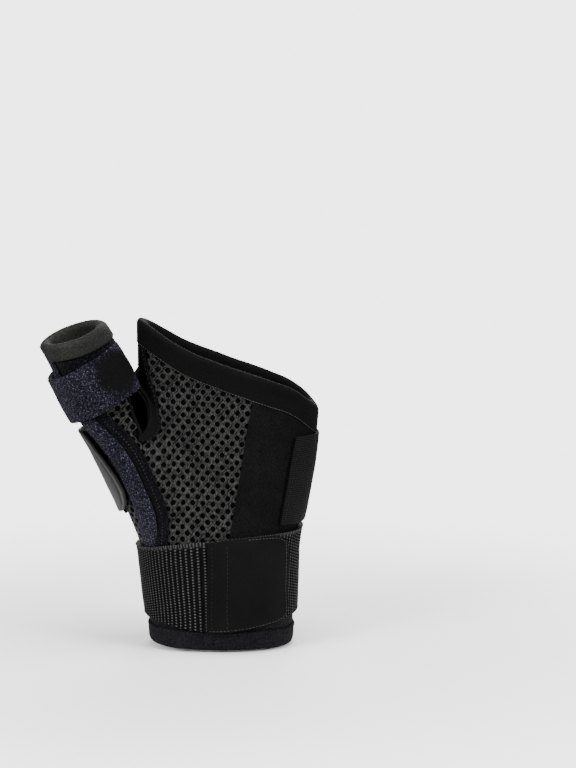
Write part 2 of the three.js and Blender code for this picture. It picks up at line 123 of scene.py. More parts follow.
# up, how much like the palm, swell, shift towards the little finger
HAND = np.array([
    (-0.40, 0.00, 0.92, 0.010), (-0.24, 0.00, 0.93, 0.010), (-0.12, 0.00, 0.96, 0.010), (0.02, 0.00, 1.00, 0.004),
    (0.16, 0.02, 1.03, 0.000), (0.28, 0.35, 1.02, 0.022), (0.44, 0.75, 1.01, 0.044), (0.62, 1.00, 1.00, 0.056),
    (0.90, 1.02, 0.99, 0.056), (1.20, 1.02, 0.98, 0.056),
])
# out, forward, up, half side, half depth, angle of the stay sleeve, half of its width
THUMB = np.array([
    (0.13, 0.00, -0.04, 0.55, 0.57, 22, 0.18), (0.25, 0.13, 0.13, 0.64, 0.70, 40, 0.18),
    (0.35, 0.29, 0.29, 0.64, 0.77, 60, 0.18), (0.48, 0.50, 0.44, 0.59, 0.73, 68, 0.17),
    (0.61, 0.63, 0.59, 0.56, 0.66, 66, 0.17), (0.75, 0.75, 0.73, 0.52, 0.58, 46, 0.19),
    (0.87, 0.88, 0.87, 0.51, 0.54, 24, 0.21), (1.00, 1.00, 1.00, 0.49, 0.50, 10, 0.22),
    (1.13, 1.08, 1.12, 0.49, 0.50, 2, 0.22),
])


# %% Points of the two tubes
def smooth_column(positions, values, at):
    at = np.clip(at, positions[0], positions[-1])
    slopes = np.gradient(values, positions)
    low = np.clip(np.searchsorted(positions, at, side="right") - 1, 0, len(positions) - 2)
    step = positions[low + 1] - positions[low]
    t = (at - positions[low]) / step
    rise = t * t * (3 - 2 * t)
    bend = t * (1 - t) * step * ((1 - t) * slopes[low] - t * slopes[low + 1])
    return values[low] * (1 - rise) + values[low + 1] * rise + bend


def hand_size(z):
    palm, swell, shift = (smooth_column(HAND[:, 0], HAND[:, k], z / HAND_RISE) for k in (1, 2, 3))
    half_wide = (WRIST_WIDE + (PALM_WIDE - WRIST_WIDE) * palm) * swell / 2
    half_deep = (WRIST_DEEP + (PALM_DEEP - WRIST_DEEP) * palm) * swell / 2
    return half_wide, half_deep, shift * PALM_WIDE


def hand_point(turn, z, offset):
    """turn: radians from the little finger's side towards the palm."""
    half_wide, half_deep, shift = hand_size(z)
    c, s = np.cos(turn), np.sin(turn)
    x = shift + (half_wide + offset) * np.sign(c) * np.abs(c) ** (1 / 1.2)
    y = -(half_deep + offset) * np.sign(s) * np.abs(s) ** (1 / 1.2)
    return np.stack(np.broadcast_arrays(x, y, z + 0 * turn), axis=-1)


def hand_turn(x, z, offset):
    """The turn on the palm side at which the hand tube has a given x."""
    half_wide, _, shift = hand_size(z)
    share = np.clip((x - shift) / (half_wide + offset), -0.999, 0.999)
    return np.arccos(np.sign(share) * np.abs(share) ** 1.2)


def thumb_value(column, station):
    return smooth_column(np.arange(len(THUMB), dtype=float), THUMB[:, column], station)


def thumb_middle(station):
    out, fore, up = (thumb_value(k, station) for k in (0, 1, 2))
    return np.stack([-out * THUMB_REACH, -fore * THUMB_FORWARD, up * THUMB_RISE], axis=-1)


def thumb_point(turn, station, offset):
    """turn: radians from the thumb's outer side towards the palm."""
    turn, station, offset = np.broadcast_arrays(turn, station, offset)
    along = thumb_middle(station + 0.05) - thumb_middle(station - 0.05)
    along /= np.linalg.norm(along, axis=-1, keepdims=True)
    outer = np.cross(along, (0, 1, 0))
    outer /= np.linalg.norm(outer, axis=-1, keepdims=True)
    palmar = np.cross(along, outer)
    side = thumb_value(3, station) * THUMB_WIDE + offset
    depth = thumb_value(4, station) * THUMB_WIDE + offset
    return (thumb_middle(station) + outer * (side * np.cos(turn))[..., None]
            + palmar * (depth * np.sin(turn))[..., None])


# %% [markdown]
# ## One helper that lays out cloth
# Most pieces are cut flat and then bent. A grid is the flat cut, and a rule moves each of its points to the form.
# The flat place of each point is kept as the UV map in metres, so a weave follows the cloth and keeps its scale.
# Lifting the cloth along its own normals keeps it an even distance off what it lies on.

# %% A grid of cloth that is bent over the form
def write_mesh(name, cloth):
    mesh = bpy.data.meshes.new(name)
    cloth.to_mesh(mesh)
    cloth.free()
    mesh.polygons.foreach_set("use_smooth", [True] * len(mesh.polygons))
    piece = bpy.data.objects.new(name, mesh)
    bpy.context.collection.objects.link(piece)
    return piece


def cloth_grid(columns, rows):
    """A flat cut with its points' shares of the width and length."""
    cloth = bmesh.new()
    bmesh.ops.create_grid(cloth, x_segments=columns, y_segments=rows, size=1)
    flat = np.array([vert.co[:] for vert in cloth.verts])
    return cloth, (flat[:, 0] + 1) / 2, (flat[:, 1] + 1) / 2


def place_points(cloth, points):
    for vert, point in zip(cloth.verts, points * MM):
        vert.co = point


def lay_cloth(cloth, u, v, points, size, closed=False, lift=0.0, core=None):
    """Bends a flat grid to points, faces it away from its core, and lifts it along its normals."""
    layer = cloth.loops.layers.uv.new("cut")
    for face in cloth.faces:
        for loop in face.loops:
            loop[layer].uv = (u[loop.vert.index] * size[0] * MM, v[loop.vert.index] * size[1] * MM)
    place_points(cloth, points)
    if closed:
        index = cloth.verts.layers.float.new("lift")
        for vert, value in zip(cloth.verts, np.broadcast_to(lift, len(points))):
            vert[index] = value
        bmesh.ops.remove_doubles(cloth, verts=cloth.verts, dist=0.00002)
        lift = np.array([vert[index] for vert in cloth.verts])
    cloth.normal_update()
    if core is None:
        core = np.array([vert.co[:] for vert in cloth.verts]) * (0, 0, 1)
    core = np.broadcast_to(core, (len(cloth.verts), 3))
    outward = sum(vert.normal.dot(vert.co - Vector(c)) for vert, c in zip(cloth.verts, core))
    if outward < 0:
        bmesh.ops.reverse_faces(cloth, faces=cloth.faces)
        cloth.normal_update()
    normals = [vert.normal.copy() for vert in cloth.verts]
    for vert, normal, rise in zip(cloth.verts, normals, np.broadcast_to(lift, len(normals))):
        vert.co += normal * float(rise) * MM


def thicken(piece, thickness, levels=0, bevel=0.0):
    wall = piece.modifiers.new("wall", "SOLIDIFY")
    wall.thickness = thickness * MM
    wall.offset = 1
    if bevel:
        edge = piece.modifiers.new("edge", "BEVEL")
        edge.width = bevel * MM
        edge.segments = 2
        edge.limit_method = "ANGLE"
        edge.angle_limit = math.radians(50)
    if levels:
        fine = piece.modifiers.new("fine", "SUBSURF")
        fine.levels = fine.render_levels = levels


def apply_modifiers(piece):
    evaluated = piece.evaluated_get(bpy.context.evaluated_depsgraph_get())
    mesh = bpy.data.meshes.new_from_object(evaluated)
    piece.modifiers.clear()
    old = piece.data
    piece.data = mesh
    bpy.data.meshes.remove(old)
    mesh.name = piece.name


def report(piece):
    low, high = box_of(piece)
    print(f"{piece.name}: {len(piece.data.polygons)} faces, z {1000 * low[2]:.1f} to {1000 * high[2]:.1f} mm")


def box_of(piece):
    points = np.empty(len(piece.data.vertices) * 3)
    piece.data.vertices.foreach_get("co", points)
    points = points.reshape(-1, 3)
    return points.min(axis=0), points.max(axis=0)


# %% [markdown]
# ## The knitted lining
# The lining is one soft shell that every other layer is sewn to. The two tubes overlap, so they are melted
# into one skin with a voxel remesh, and a few smoothing passes soften the crease between thumb and hand. Then
# the openings are cut, and a wall is added inwards. The skin before cutting is kept as the surface that
# the other pieces are laid on.

# %% The two tubes melted into one form
BASE = 1.7  # how far the lining's outer face lies off the skin


def tube(name, point, first, last, around, along):
    cloth, u, v = cloth_grid(around, along)
    place_points(cloth, point(u * 2 * np.pi, first + (last - first) * v, BASE))
    bmesh.ops.remove_doubles(cloth, verts=cloth.verts, dist=0.00002)
    bmesh.ops.holes_fill(cloth, edges=[e for e in cloth.edges if e.is_boundary], sides=0)
    bmesh.ops.recalc_face_normals(cloth, faces=cloth.faces)
    return write_mesh(name, cloth)


hand_core = tube("hand_core", hand_point, -44, 128, 120, 100)
thumb_core = tube("thumb_core", thumb_point, 0, 8, 90, 80)
melted = bmesh.new()
melted.from_mesh(hand_core.data)
melted.from_mesh(thumb_core.data)
lining = write_mesh("lining", melted)
for core in (hand_core, thumb_core):
    bpy.data.objects.remove(core)
voxels = lining.modifiers.new("melt", "REMESH")
voxels.mode = "VOXEL"
voxels.voxel_size = 1.1 * MM
apply_modifiers(lining)
skin = bmesh.new()
skin.from_mesh(lining.data)
for _ in range(10):
    bmesh.ops.smooth_vert(skin, verts=skin.verts, factor=0.5, use_axis_x=True, use_axis_y=True, use_axis_z=True)
FORM = BVHTree.FromBMesh(skin)
print("form:", len(skin.faces), "faces")


# %% Casting points onto the form
def cast(starts, ways):
    """First points of the form along rays, in millimetres. A ray that misses gives the nearest point."""
    found = np.empty_like(starts)
    for i, (start, way) in enumerate(zip(starts * MM, ways)):
        hit = FORM.ray_cast(Vector(start), Vector(way), 0.3)[0]
        if hit is None:
            hit = FORM.find_nearest(Vector(start + 0.1 * np.asarray(way)))[0]
        found[i] = hit[:]
    return found / MM


def from_front(x, z):
    starts = np.stack(np.broadcast_arrays(x, -120.0, z), axis=-1).astype(float)
    return cast(starts, np.broadcast_to((0.0, 1.0, 0.0), starts.shape))


def from_back(x, z):
    starts = np.stack(np.broadcast_arrays(x, 120.0, z), axis=-1).astype(float)
    return cast(starts, np.broadcast_to((0.0, -1.0, 0.0), starts.shape))


def on_thumb(turn, station):
    far = thumb_point(turn, station, 30.0)
    ways = thumb_middle(station + 0 * turn) - far
    ways /= np.linalg.norm(ways, axis=-1, keepdims=True)
    return cast(far, ways)


# %% How far out the form is, all round the hand and wrist
DRUM_TURNS = np.radians(np.arange(0, 360, 2.0))
DRUM_LEVELS = np.arange(-31, 73, 1.5)


def drum_way(turn, z):
    _, _, shift = hand_size(z)
    rim = hand_point(turn, z, 0)
    way = rim - np.stack(np.broadcast_arrays(shift, 0 * rim[..., 1], rim[..., 2]), axis=-1)
    way /= np.linalg.norm(way, axis=-1, keepdims=True)
    axis = np.stack(np.broadcast_arrays(shift, 0 * rim[..., 1], rim[..., 2]), axis=-1)
    return axis, way


turns, levels = (a.ravel() for a in np.meshgrid(DRUM_TURNS, DRUM_LEVELS, indexing="ij"))
axis, way = drum_way(turns, levels)
drum = np.linalg.norm(cast(axis + 110 * way, -way) - axis, axis=-1).reshape(len(DRUM_TURNS), len(DRUM_LEVELS))
for _ in range(3):
    drum = (np.roll(drum, 1, 0) + 2 * drum + np.roll(drum, -1, 0)) / 4
print("drum radii in mm:", drum.min().round(1), "to", drum.max().round(1))


def on_drum(turn, z):
    """Point of the form at a turn round the hand and a height."""
    column = np.mod(turn, 2 * np.pi) / np.radians(2)
    row = np.clip((z - DRUM_LEVELS[0]) / 1.5, 0, len(DRUM_LEVELS) - 1.001)
    i, j = np.floor(column).astype(int), np.floor(row).astype(int)
    a, b = column - i, row - j
    i, n = i % len(DRUM_TURNS), (i + 1) % len(DRUM_TURNS)
    radius = ((1 - a) * (1 - b) * drum[i, j] + a * (1 - b) * drum[n, j]
              + (1 - a) * b * drum[i, j + 1] + a * b * drum[n, j + 1])
    axis, way = drum_way(turn, z)
    return axis + way * radius[..., None]


# %% Where the openings are
TOP_EDGE = np.array([(-56, 124.3), (-33.25, 110.55), (-14.35, 98.9), (3.5, 91.85), (21, 85.6), (32.2, 80.75), (42, 72.05), (56, 55)])
RIM_TILT = math.radians(19)
RIM_NORMAL = np.array([-math.sin(RIM_TILT), -0.17, math.cos(RIM_TILT)])
RIM_NORMAL /= np.linalg.norm(RIM_NORMAL)
RIM_MIDDLE = np.array([-THUMB_REACH, -THUMB_FORWARD, THUMB_RISE])
CLEFT = -36.6
WEB_TOP, WEB_LOW = np.array((-36.9, 83.8)), np.array((-31.5, 64.0))


def top_edge(x):
    return smooth_column(TOP_EDGE[:, 0], TOP_EDGE[:, 1], x)


def curve_points(a, b, c, d, t):
    a, b, c, d = (np.asarray(p, dtype=float) for p in (a, b, c, d))
    t = np.asarray(t)[:, None]
    return a * (1 - t) ** 3 + 3 * b * t * (1 - t) ** 2 + 3 * c * t * t * (1 - t) + d * t ** 3


def web_outline(grown=0.0, count=28):
    tall = WEB_TOP[1] - WEB_LOW[1]
    t = np.linspace(0, 1, count)
    up, out = np.array((0, grown)), np.array((grown, 0))
    outer = curve_points(WEB_TOP + up, WEB_TOP + (-1 - grown, -0.35 * tall), WEB_LOW + (-1 - grown, 0.3 * tall - grown), WEB_LOW - up, t)
    inner = curve_points(WEB_LOW - up, WEB_LOW + (6.2 + grown, 0.22 * tall - grown), WEB_TOP + (6.2 + grown, -0.25 * tall), WEB_TOP + up, t)
    return np.concatenate([outer[:-1], inner[:-1]])


def inside(outline, x, z):
    held = np.zeros(len(x), dtype=bool)
    for (ax, az), (bx, bz) in zip(outline, np.roll(outline, -1, axis=0)):
        crosses = (az > z) != (bz > z)
        with np.errstate(divide="ignore", invalid="ignore"):
            held ^= crosses & (x < (bx - ax) * (z - az) / (bz - az) + ax)
    return held


# %% Cut the openings and give the lining its wall
def beyond_openings(points):
    x, y, z = points.T
    over = (z > top_edge(x) - 1.0) & (x > CLEFT)
    rim = ((points - RIM_MIDDLE) @ RIM_NORMAL > -1.0) & (x <= CLEFT)
    hem = z < -HEM_DROP + 1.0 - 0.02 * x
    web = inside(web_outline(), x, z) & (y < -2)
    return over | rim | hem | web


points = np.array([vert.co[:] for vert in skin.verts]) / MM
gone = beyond_openings(points)
bmesh.ops.delete(skin, geom=[vert for vert, out in zip(skin.verts, gone) if out], context="VERTS")
bmesh.ops.smooth_vert(skin, verts=[v for v in skin.verts if v.is_boundary], factor=0.5, use_axis_x=True, use_axis_y=True, use_axis_z=True)
outline = web_outline()
for vert in skin.verts:
    if not vert.is_boundary:
        continue
    x, y, z = (c / MM for c in vert.co)
    if y < -2 and -41 < x < -27 and 62 < z < 86:
        near = outline[np.argmin(np.hypot(outline[:, 0] - x, outline[:, 1] - z))]
        vert.co.x, vert.co.z = near[0] * MM, near[1] * MM
    elif x > CLEFT and abs(z - top_edge(x) + 1.0) < 4:
        vert.co.z = float(top_edge(x) - 1.0) * MM
    elif z < -20:
        vert.co.z = (-HEM_DROP + 1.0 - 0.02 * x) * MM
bpy.data.objects.remove(lining)
lining = write_mesh("lining", skin)
wall = lining.modifiers.new("wall", "SOLIDIFY")
wall.thickness = 1.8 * MM
wall.offset = -1
report(lining)


# %% [markdown]
# ## Air mesh
# Spacer mesh is knitted with rows of oval holes, each row shifted by half a hole from the next. One cell of the
# net is a six-sided ring. It is copied in rows, the copies share their corners, and each point is cast onto
# the form. A wall and one subdivision turn the flat rings into rounded strands.

# %% One cell, repeated and laid on the form
HOLE_PITCH, ROW_PITCH = 4.2, 2.6


def net(name, keeps, spot, low, high, tilt=0.0, core=None):
    """low and high: corners of the flat cut. keeps(a, b) says which cells stay. spot(a, b) gives their points."""
    cell = bmesh.new()
    bmesh.ops.create_circle(cell, cap_ends=True, segments=6, radius=1)
    shape = {0: (0, 2.148), 1: (2.1, 0.452), 2: (2.1, -0.452), 3: (0, -2.148), 4: (-2.1, -0.452), 5: (-2.1, 0.452)}
    for k, vert in enumerate(sorted(cell.verts, key=lambda vert: math.atan2(vert.co.x, vert.co.y) % (2 * math.pi))):
        vert.co = (*shape[k], 0)
    ring = bmesh.ops.inset_individual(cell, faces=cell.faces[:], thickness=0.62)
    hole = [face for face in cell.faces if face not in ring["faces"]]
    for vert in hole[0].verts:
        vert.co.x *= 0.74
        vert.co.y *= 1.14
    bmesh.ops.delete(cell, geom=hole, context="FACES_ONLY")
    cloth = bmesh.new()
    mesh = bpy.data.meshes.new("cell")
    cell.to_mesh(mesh)
    cell.free()
    centres = []
    for row in range(int((high[1] - low[1]) / ROW_PITCH) + 1):
        b = low[1] + row * ROW_PITCH
        for a in np.arange(low[0] + (row % 2) * HOLE_PITCH / 2, high[0], HOLE_PITCH):
            centres.append((a, b + tilt * a))
    centres = np.array(centres)
    centres = centres[keeps(centres[:, 0], centres[:, 1])]
    for a, b in centres:
        seen = len(cloth.verts)
        cloth.from_mesh(mesh)
        cloth.verts.ensure_lookup_table()
        bmesh.ops.translate(cloth, verts=cloth.verts[seen:], vec=(a, b, 0))
    bpy.data.meshes.remove(mesh)
    bmesh.ops.remove_doubles(cloth, verts=cloth.verts, dist=0.25)
    flat = np.array([vert.co[:] for vert in cloth.verts])
    place_points(cloth, spot(flat[:, 0], flat[:, 1]))
    layer = cloth.loops.layers.uv.new("cut")
    for face in cloth.faces:
        for loop in face.loops:
            loop[layer].uv = flat[loop.vert.index, :2] * MM
    cloth.normal_update()
    core = np.array([vert.co[:] for vert in cloth.verts]) * (0, 0, 1) if core is None else np.array(core) * MM
    if sum(vert.normal.dot(vert.co - Vector(c)) for vert, c in zip(cloth.verts, np.broadcast_to(core, (len(flat), 3)))) < 0:
        bmesh.ops.reverse_faces(cloth, faces=cloth.faces)
        cloth.normal_update()
    for vert in cloth.verts:
        vert.co += vert.normal * 0.15 * MM
    piece = write_mesh(name, cloth)
    thicken(piece, 0.95, levels=1)
    print(name, "cells:", len(centres))
    return piece


# %% The palm's net
PALM_PANEL = np.array([(1, 4), (3, 10), (8, 26), (11.5, 45), (14.5, 62), (16.5, 80), (16.5, 96), (-36, 112), (-36, 90),
                       (-40, 85), (-46, 79), (-46, 66), (-42, 58), (-38, 50), (-33, 40), (-29, 28), (-26, 12), (-26, 4)], dtype=float)
WEB_THUMB_SIDE, WEB_HAND_SIDE = web_outline(0.9), web_outline(2.9)


def keeps_palm(a, b):
    at_web = np.where(a < -33.5, inside(WEB_THUMB_SIDE, a, b), inside(WEB_HAND_SIDE, a, b))
    beside_hand = (a > -29.8) | ((b < 80) & (a < -35.0)) | (b < 62)
    return inside(PALM_PANEL, a, b) & ~at_web & (b < top_edge(a) - 4) & beside_hand


palm_net = net("palm_net", keeps_palm, from_front, (-48, 3), (18, 104), tilt=-0.06)

# %% The net on the back of the hand and round the thumb's base
def keeps_back(a, b):
    above_strap = (b < top_edge(a) - 4) & (b > 58) & (a > -31.5)
    below_strap = (b < 30) & (a > -20)
    return (above_strap | below_strap) & (a < 16)


back_net = net("back_net", keeps_back, from_back, (-34, 10), (18, 110))


def thumb_base(a, b):
    """a: millimetres round the thumb from its outer side. b: millimetres along it."""
    station = 1.2 + b / 15.5
    return on_thumb(a / (THUMB_WIDE * 0.66), station)


def keeps_flank(a, b):
    station = 1.2 + b / 15.5
    stay = np.radians(thumb_value(5, station)) * THUMB_WIDE * 0.66
    behind = on_thumb(a / (THUMB_WIDE * 0.66), station)
    return (a < stay - 1) & (station < 5.3) & ((station > 3.2) | (behind[:, 0] < -22) | (a > -12))


flank_net = net("flank_net", keeps_flank, thumb_base, (-32, 0), (18, 64), core=(-20, 0, 40))

# %% [markdown]
# ## The smooth side panel
# From the net's edge round the little finger's side to the back runs a plain padded cloth with a dull face. It is
# a grid laid on the hand tube. Its front edge follows the seam beside the net.

# %% Side panel
def panel_seam(z):
    return np.interp(z, [4, 20, 50, 78, 100], [0.3, 4.8, 10.3, 14.5, 15.6])


def side_panel_place(u, v):
    base = 6 + 100 * v
    start = hand_turn(panel_seam(base), base, BASE)
    stop = -hand_turn(15.0, base, BASE)
    turn = start + (stop - start) * u
    x = hand_point(turn, base, BASE)[:, 0]
    high = top_edge(x) - 3
    z = 6 + (high - 6) * v
    start = hand_turn(panel_seam(z), z, BASE)
    stop = -hand_turn(np.full_like(z, 15.0), z, BASE)
    return hand_point(start + (stop - start) * u, z, BASE)


cloth, u, v = cloth_grid(64, 56)
overlap = 1 - np.clip(np.minimum(u, 1 - u) / 0.05, 0, 1)
lay_cloth(cloth, u, v, side_panel_place(u, v), (88, 80), lift=0.1 + 1.1 * overlap * overlap)
side_panel = write_mesh("side_panel", cloth)
thicken(side_panel, 0.95, levels=1)
report(side_panel)

# %% [markdown]
# ## Folded tape on the edges
# The top, the hem and the thumb opening are bound with tape that is folded over the edge. A closed ring of
# grid is bent into a narrow U: down the outside, over the edge and down the inside. The tape's own thickness
# comes from a wall, and a subdivision rounds the fold.

# %% Tape bent over an edge
def folded(v, leg, reach):
    """Height below the fold and distance from the skin along a U, for v from the outer edge to the inner one."""
    outer, inner = reach, -0.5
    middle, half = (outer + inner) / 2, (outer - inner) / 2
    angle = np.clip((v - 0.38) / 0.24, 0, 1) * np.pi
    down = np.where(v < 0.38, (0.38 - v) / 0.38 * leg, np.where(v > 0.62, (v - 0.62) / 0.38 * leg, 0))
    return down - half * np.sin(angle) * 0.75, middle + half * np.cos(angle)


def bound_edge(name, around, rows, place, size, core=None, thickness=0.8):
    cloth, u, v = cloth_grid(around, rows)
    lay_cloth(cloth, u, v, place(u, v), size, closed=True, core=core)
    piece = write_mesh(name, cloth)
    thicken(piece, thickness, levels=1)
    report(piece)
    return piece


def top_tape(u, v):
    turn = u * 2 * np.pi
    down, offset = folded(v, 9.3, 2.75)
    z = np.full_like(u, 95.0)
    for _ in range(4):
        x = hand_point(turn, z, offset)[:, 0]
        z = top_edge(x) - 1.0 - down
    return hand_point(turn, z, offset)


def hem_tape(u, v):
    turn = u * 2 * np.pi
    down, offset = folded(v, 6.6, 2.75)
    point = hand_point(turn, np.full_like(u, -27.0), offset)
    z = -HEM_DROP + 1.0 - 0.02 * point[:, 0] + down
    return hand_point(turn, z, offset)


def rim_station(turn, lowered, offset):
    low, high = np.full_like(turn, 5.0), np.full_like(turn, 8.0)
    for _ in range(22):
        station = (low + high) / 2
        above = (thumb_point(turn, station, offset) - RIM_MIDDLE) @ RIM_NORMAL > -lowered
        low, high = np.where(above, low, station), np.where(above, station, high)
    return (low + high) / 2


def rim_tape(u, v):
    turn = u * 2 * np.pi
    down, offset = folded(v, 5.0, 2.9)
    return thumb_point(turn, rim_station(turn, 1.0 + down, offset), offset)


def hem_cloth_place(u, v):
    turn = u * 2 * np.pi
    point = hand_point(turn, np.full_like(u, -20.0), BASE)
    z = -HEM_DROP + 3.0 - 0.02 * point[:, 0] + 16.0 * v
    return hand_point(turn, z, BASE)


cloth, u, v = cloth_grid(120, 8)
lay_cloth(cloth, u, v, hem_cloth_place(u, v), (165, 16), closed=True, lift=0.1)
hem_cloth = write_mesh("hem_cloth", cloth)
thicken(hem_cloth, 0.95, levels=1)
report(hem_cloth)

top_binding = bound_edge("top_tape", 150, 20, top_tape, (180, 20))
hem_binding = bound_edge("hem_tape", 130, 18, hem_tape, (170, 15))
thumb_binding = bound_edge("thumb_tape", 80, 18, rim_tape, (75, 12), core=RIM_MIDDLE * MM)

# %% [markdown]
# ## The thumb's sleeve and strap
# The upper part of the thumb is covered with a fabric of tiny loops that a hook tab grips. A strap of the same
# fabric goes round over it and over the padded sleeve of the stay, so it bulges there.

# %% How much a strap rises over the stay sleeve
def stay_share(turn, station):
    radius = thumb_value(3, station) * THUMB_WIDE
    swing = np.abs(np.mod(turn - np.radians(thumb_value(5, station)) + np.pi, 2 * np.pi) - np.pi) * radius
    edge = thumb_value(6, station) * THUMB_WIDE + 4
    t = np.clip((swing - edge) / 5, 0, 1)
    return 1 - t * t * (3 - 2 * t)


def thumb_patch(name, columns, rows, turns, stations, offset, thickness, over_stay=2.8, trim=None, levels=0, bulge=0.0):
    """turns in degrees and stations give the patch's two ends each way. trim(u, v) may shift u and v."""
    cloth, u, v = cloth_grid(columns, rows)
    share_u, share_v = trim(u, v) if trim else (u, v)
    turn = np.radians(turns[0] + (turns[1] - turns[0]) * share_u)
    station = stations[0] + (stations[1] - stations[0]) * share_v
    crown = bulge * (1 - (2 * share_v - 1) ** 4)
    points = thumb_point(turn, station, offset + over_stay * stay_share(turn, station) + crown)
    core = thumb_middle(station) * MM
    size = (math.radians(turns[1] - turns[0]) * 13, (stations[1] - stations[0]) * 17)
    lay_cloth(cloth, u, v, points, size, core=core)
    piece = write_mesh(name, cloth)
    thicken(piece, thickness, levels=levels)
    report(piece)
    return piece


def rounded_ends(u, v):
    """Draws both ends of a patch in to a rounded outline."""
    reach = np.abs(2 * u - 1)
    return u, 0.5 + (v - 0.5) * np.clip(1 - reach ** 3.0, 0.02, 1) ** 0.45


def sleeve_place(u, v):
    turn = u * 2 * np.pi
    top = rim_station(turn, 4.0, 2.0)
    return thumb_point(turn, 5.2 + (top - 5.2) * v, BASE)


cloth, u, v = cloth_grid(110, 30)
lay_cloth(cloth, u, v, sleeve_place(u, v), (75, 24), core=RIM_MIDDLE * MM)
thumb_sleeve = write_mesh("thumb_loops", cloth)
thicken(thumb_sleeve, 1.0)
report(thumb_sleeve)

thumb_strap = thumb_patch("thumb_band", 200, 44, (-140, 160), (5.03, 6.3), 2.9, 1.7, bulge=0.35)
thumb_hook = thumb_patch("thumb_hook_end", 44, 36, (86, 160), (5.02, 6.28), 4.75, 0.6, trim=rounded_ends)
thumb_flap = thumb_patch("thumb_band_end", 40, 30, (-75, -12), (5.13, 6.2), 5.0, 1.2)

# %% [markdown]
# ## The padded sleeve of the stay
# A light metal stay keeps the thumb still. It is sewn into a soft sleeve that runs from the wrist to the thumb
# opening. The sleeve is a closed tube: a grid that is wrapped round an oval section, drawn in at both ends.

# %% Stay sleeve
def stay_place(u, v):
    """u: round the section. v: along the thumb."""
    station = 1.15 + (7.2 - 1.15) * v
    angle = u * 2 * np.pi
    half = (thumb_value(6, station) * THUMB_WIDE) * np.sin(np.clip(np.minimum(v, 1 - v) * 60, 0, 1) * np.pi / 2) ** 0.5
    radius = thumb_value(3, station) * THUMB_WIDE + 2.9
    middle_turn = np.radians(thumb_value(5, station))
    swing = half * np.sign(np.cos(angle)) * np.abs(np.cos(angle)) ** 0.8
    base = on_thumb(middle_turn + swing / radius, station)
    outward = base - thumb_middle(station)
    outward /= np.linalg.norm(outward, axis=-1, keepdims=True)
    full = np.interp(station, [1.15, 1.6, 2.0, 6.1, 6.5, 7.2], [0.25, 0.35, 1.0, 1.0, 0.5, 0.3])
    height = 1.0 + 1.45 * full * (1 + np.sin(angle))
    return base + outward * height[:, None]


cloth, u, v = cloth_grid(36, 220)
lay_cloth(cloth, u, v, stay_place(u, v), (24, 118), closed=True, core=None)
bmesh.ops.holes_fill(cloth, edges=[e for e in cloth.edges if e.is_boundary], sides=0)
bmesh.ops.recalc_face_normals(cloth, faces=cloth.faces)
stay_sleeve = write_mesh("stay_cover", cloth)
report(stay_sleeve)

# %% Seam tape beside the stay sleeve
def tape_place(u, v):
    station = 1.0 + (5.0 - 1.0) * v
    radius = thumb_value(3, station) * THUMB_WIDE + 2.9
    start = thumb_value(6, station) * THUMB_WIDE - 1.0
    swing = start + 6.0 * u
    return on_thumb(np.radians(thumb_value(5, station)) + swing / radius, station)


cloth, u, v = cloth_grid(14, 130)
lay_cloth(cloth, u, v, tape_place(u, v), (6.6, 78), lift=1.0)
seam_tape = write_mesh("seam_strip", cloth)
thicken(seam_tape, 0.8, levels=1)
report(seam_tape)

# %% Web facing
FACING_NEAR = np.array([(-32.2, 103), (-32.3, 95), (-32.6, 90), (-34.2, 86.2), (-34.0, 81.6), (-31.4, 77.5), (-29.7, 73), (-29.5, 69), (-31.3, 64.4), (-32.8, 64.6)])
FACING_FAR = np.array([(-30.0, 103), (-29.2, 95), (-28.4, 90), (-27.2, 85), (-25.6, 81), (-24.6, 76), (-24.4, 71.5), (-24.8, 66), (-28.0, 61.8), (-33.4, 61.5)])


def along(rows, t):
    place = t * (len(rows) - 1)
    knots = np.arange(len(rows), dtype=float)
    return np.stack([smooth_column(knots, rows[:, 0], place), smooth_column(knots, rows[:, 1], place)], axis=-1)


cloth, u, v = cloth_grid(12, 90)
spots = along(FACING_NEAR, v) * (1 - u)[:, None] + along(FACING_FAR, v) * u[:, None]
lay_cloth(cloth, u, v, from_front(spots[:, 0], spots[:, 1]), (6, 46), lift=1.0)
web_facing = write_mesh("web_edge", cloth)
thicken(web_facing, 0.85, levels=1)
report(web_facing)

# %% [markdown]
# ## The rolled edge of the web opening
# The slit between thumb and hand is edged with a narrow rolled cord of the same black cloth. It is swept round
# the slit's outline: a grid whose width is wrapped round a small circle.

# %% Rolled edge
def swept_cord(name, line, radius, closed, sides=8, size=None):
    """line: the cord's middle, one point a column."""
    count = len(line)
    cloth, u, v = cloth_grid(count if closed else count - 1, sides)
    place = np.round(u * (count if closed else count - 1)).astype(int) % count
    step = np.roll(line, -1, axis=0) - np.roll(line, 1, axis=0)
    if not closed:
        step[0], step[-1] = line[1] - line[0], line[-1] - line[-2]
    step /= np.linalg.norm(step, axis=1, keepdims=True)
    first = np.cross(step, (0.0, -1.0, 0.2))
    first /= np.linalg.norm(first, axis=1, keepdims=True)
    second = np.cross(step, first)
    angle = v * 2 * np.pi
    points = line[place] + radius * (first[place] * np.cos(angle)[:, None] + second[place] * np.sin(angle)[:, None])
    length = np.linalg.norm(np.diff(line, axis=0), axis=1).sum()
    lay_cloth(cloth, u, v, points, (length, 6.3 * radius), closed=True, core=line.mean(axis=0) * MM)
    bmesh.ops.holes_fill(cloth, edges=[e for e in cloth.edges if e.is_boundary], sides=0)
    bmesh.ops.recalc_face_normals(cloth, faces=cloth.faces)
    return write_mesh(name, cloth)


rolled = web_outline(0.5, 40)
roll_line = from_front(rolled[:, 0], rolled[:, 1]) + (0, -0.7, 0)
for _ in range(4):
    roll_line = (np.roll(roll_line, 1, 0) + 2 * roll_line + np.roll(roll_line, -1, 0)) / 4
web_roll = swept_cord("web_roll", roll_line, 0.75, closed=True)
report(web_roll)

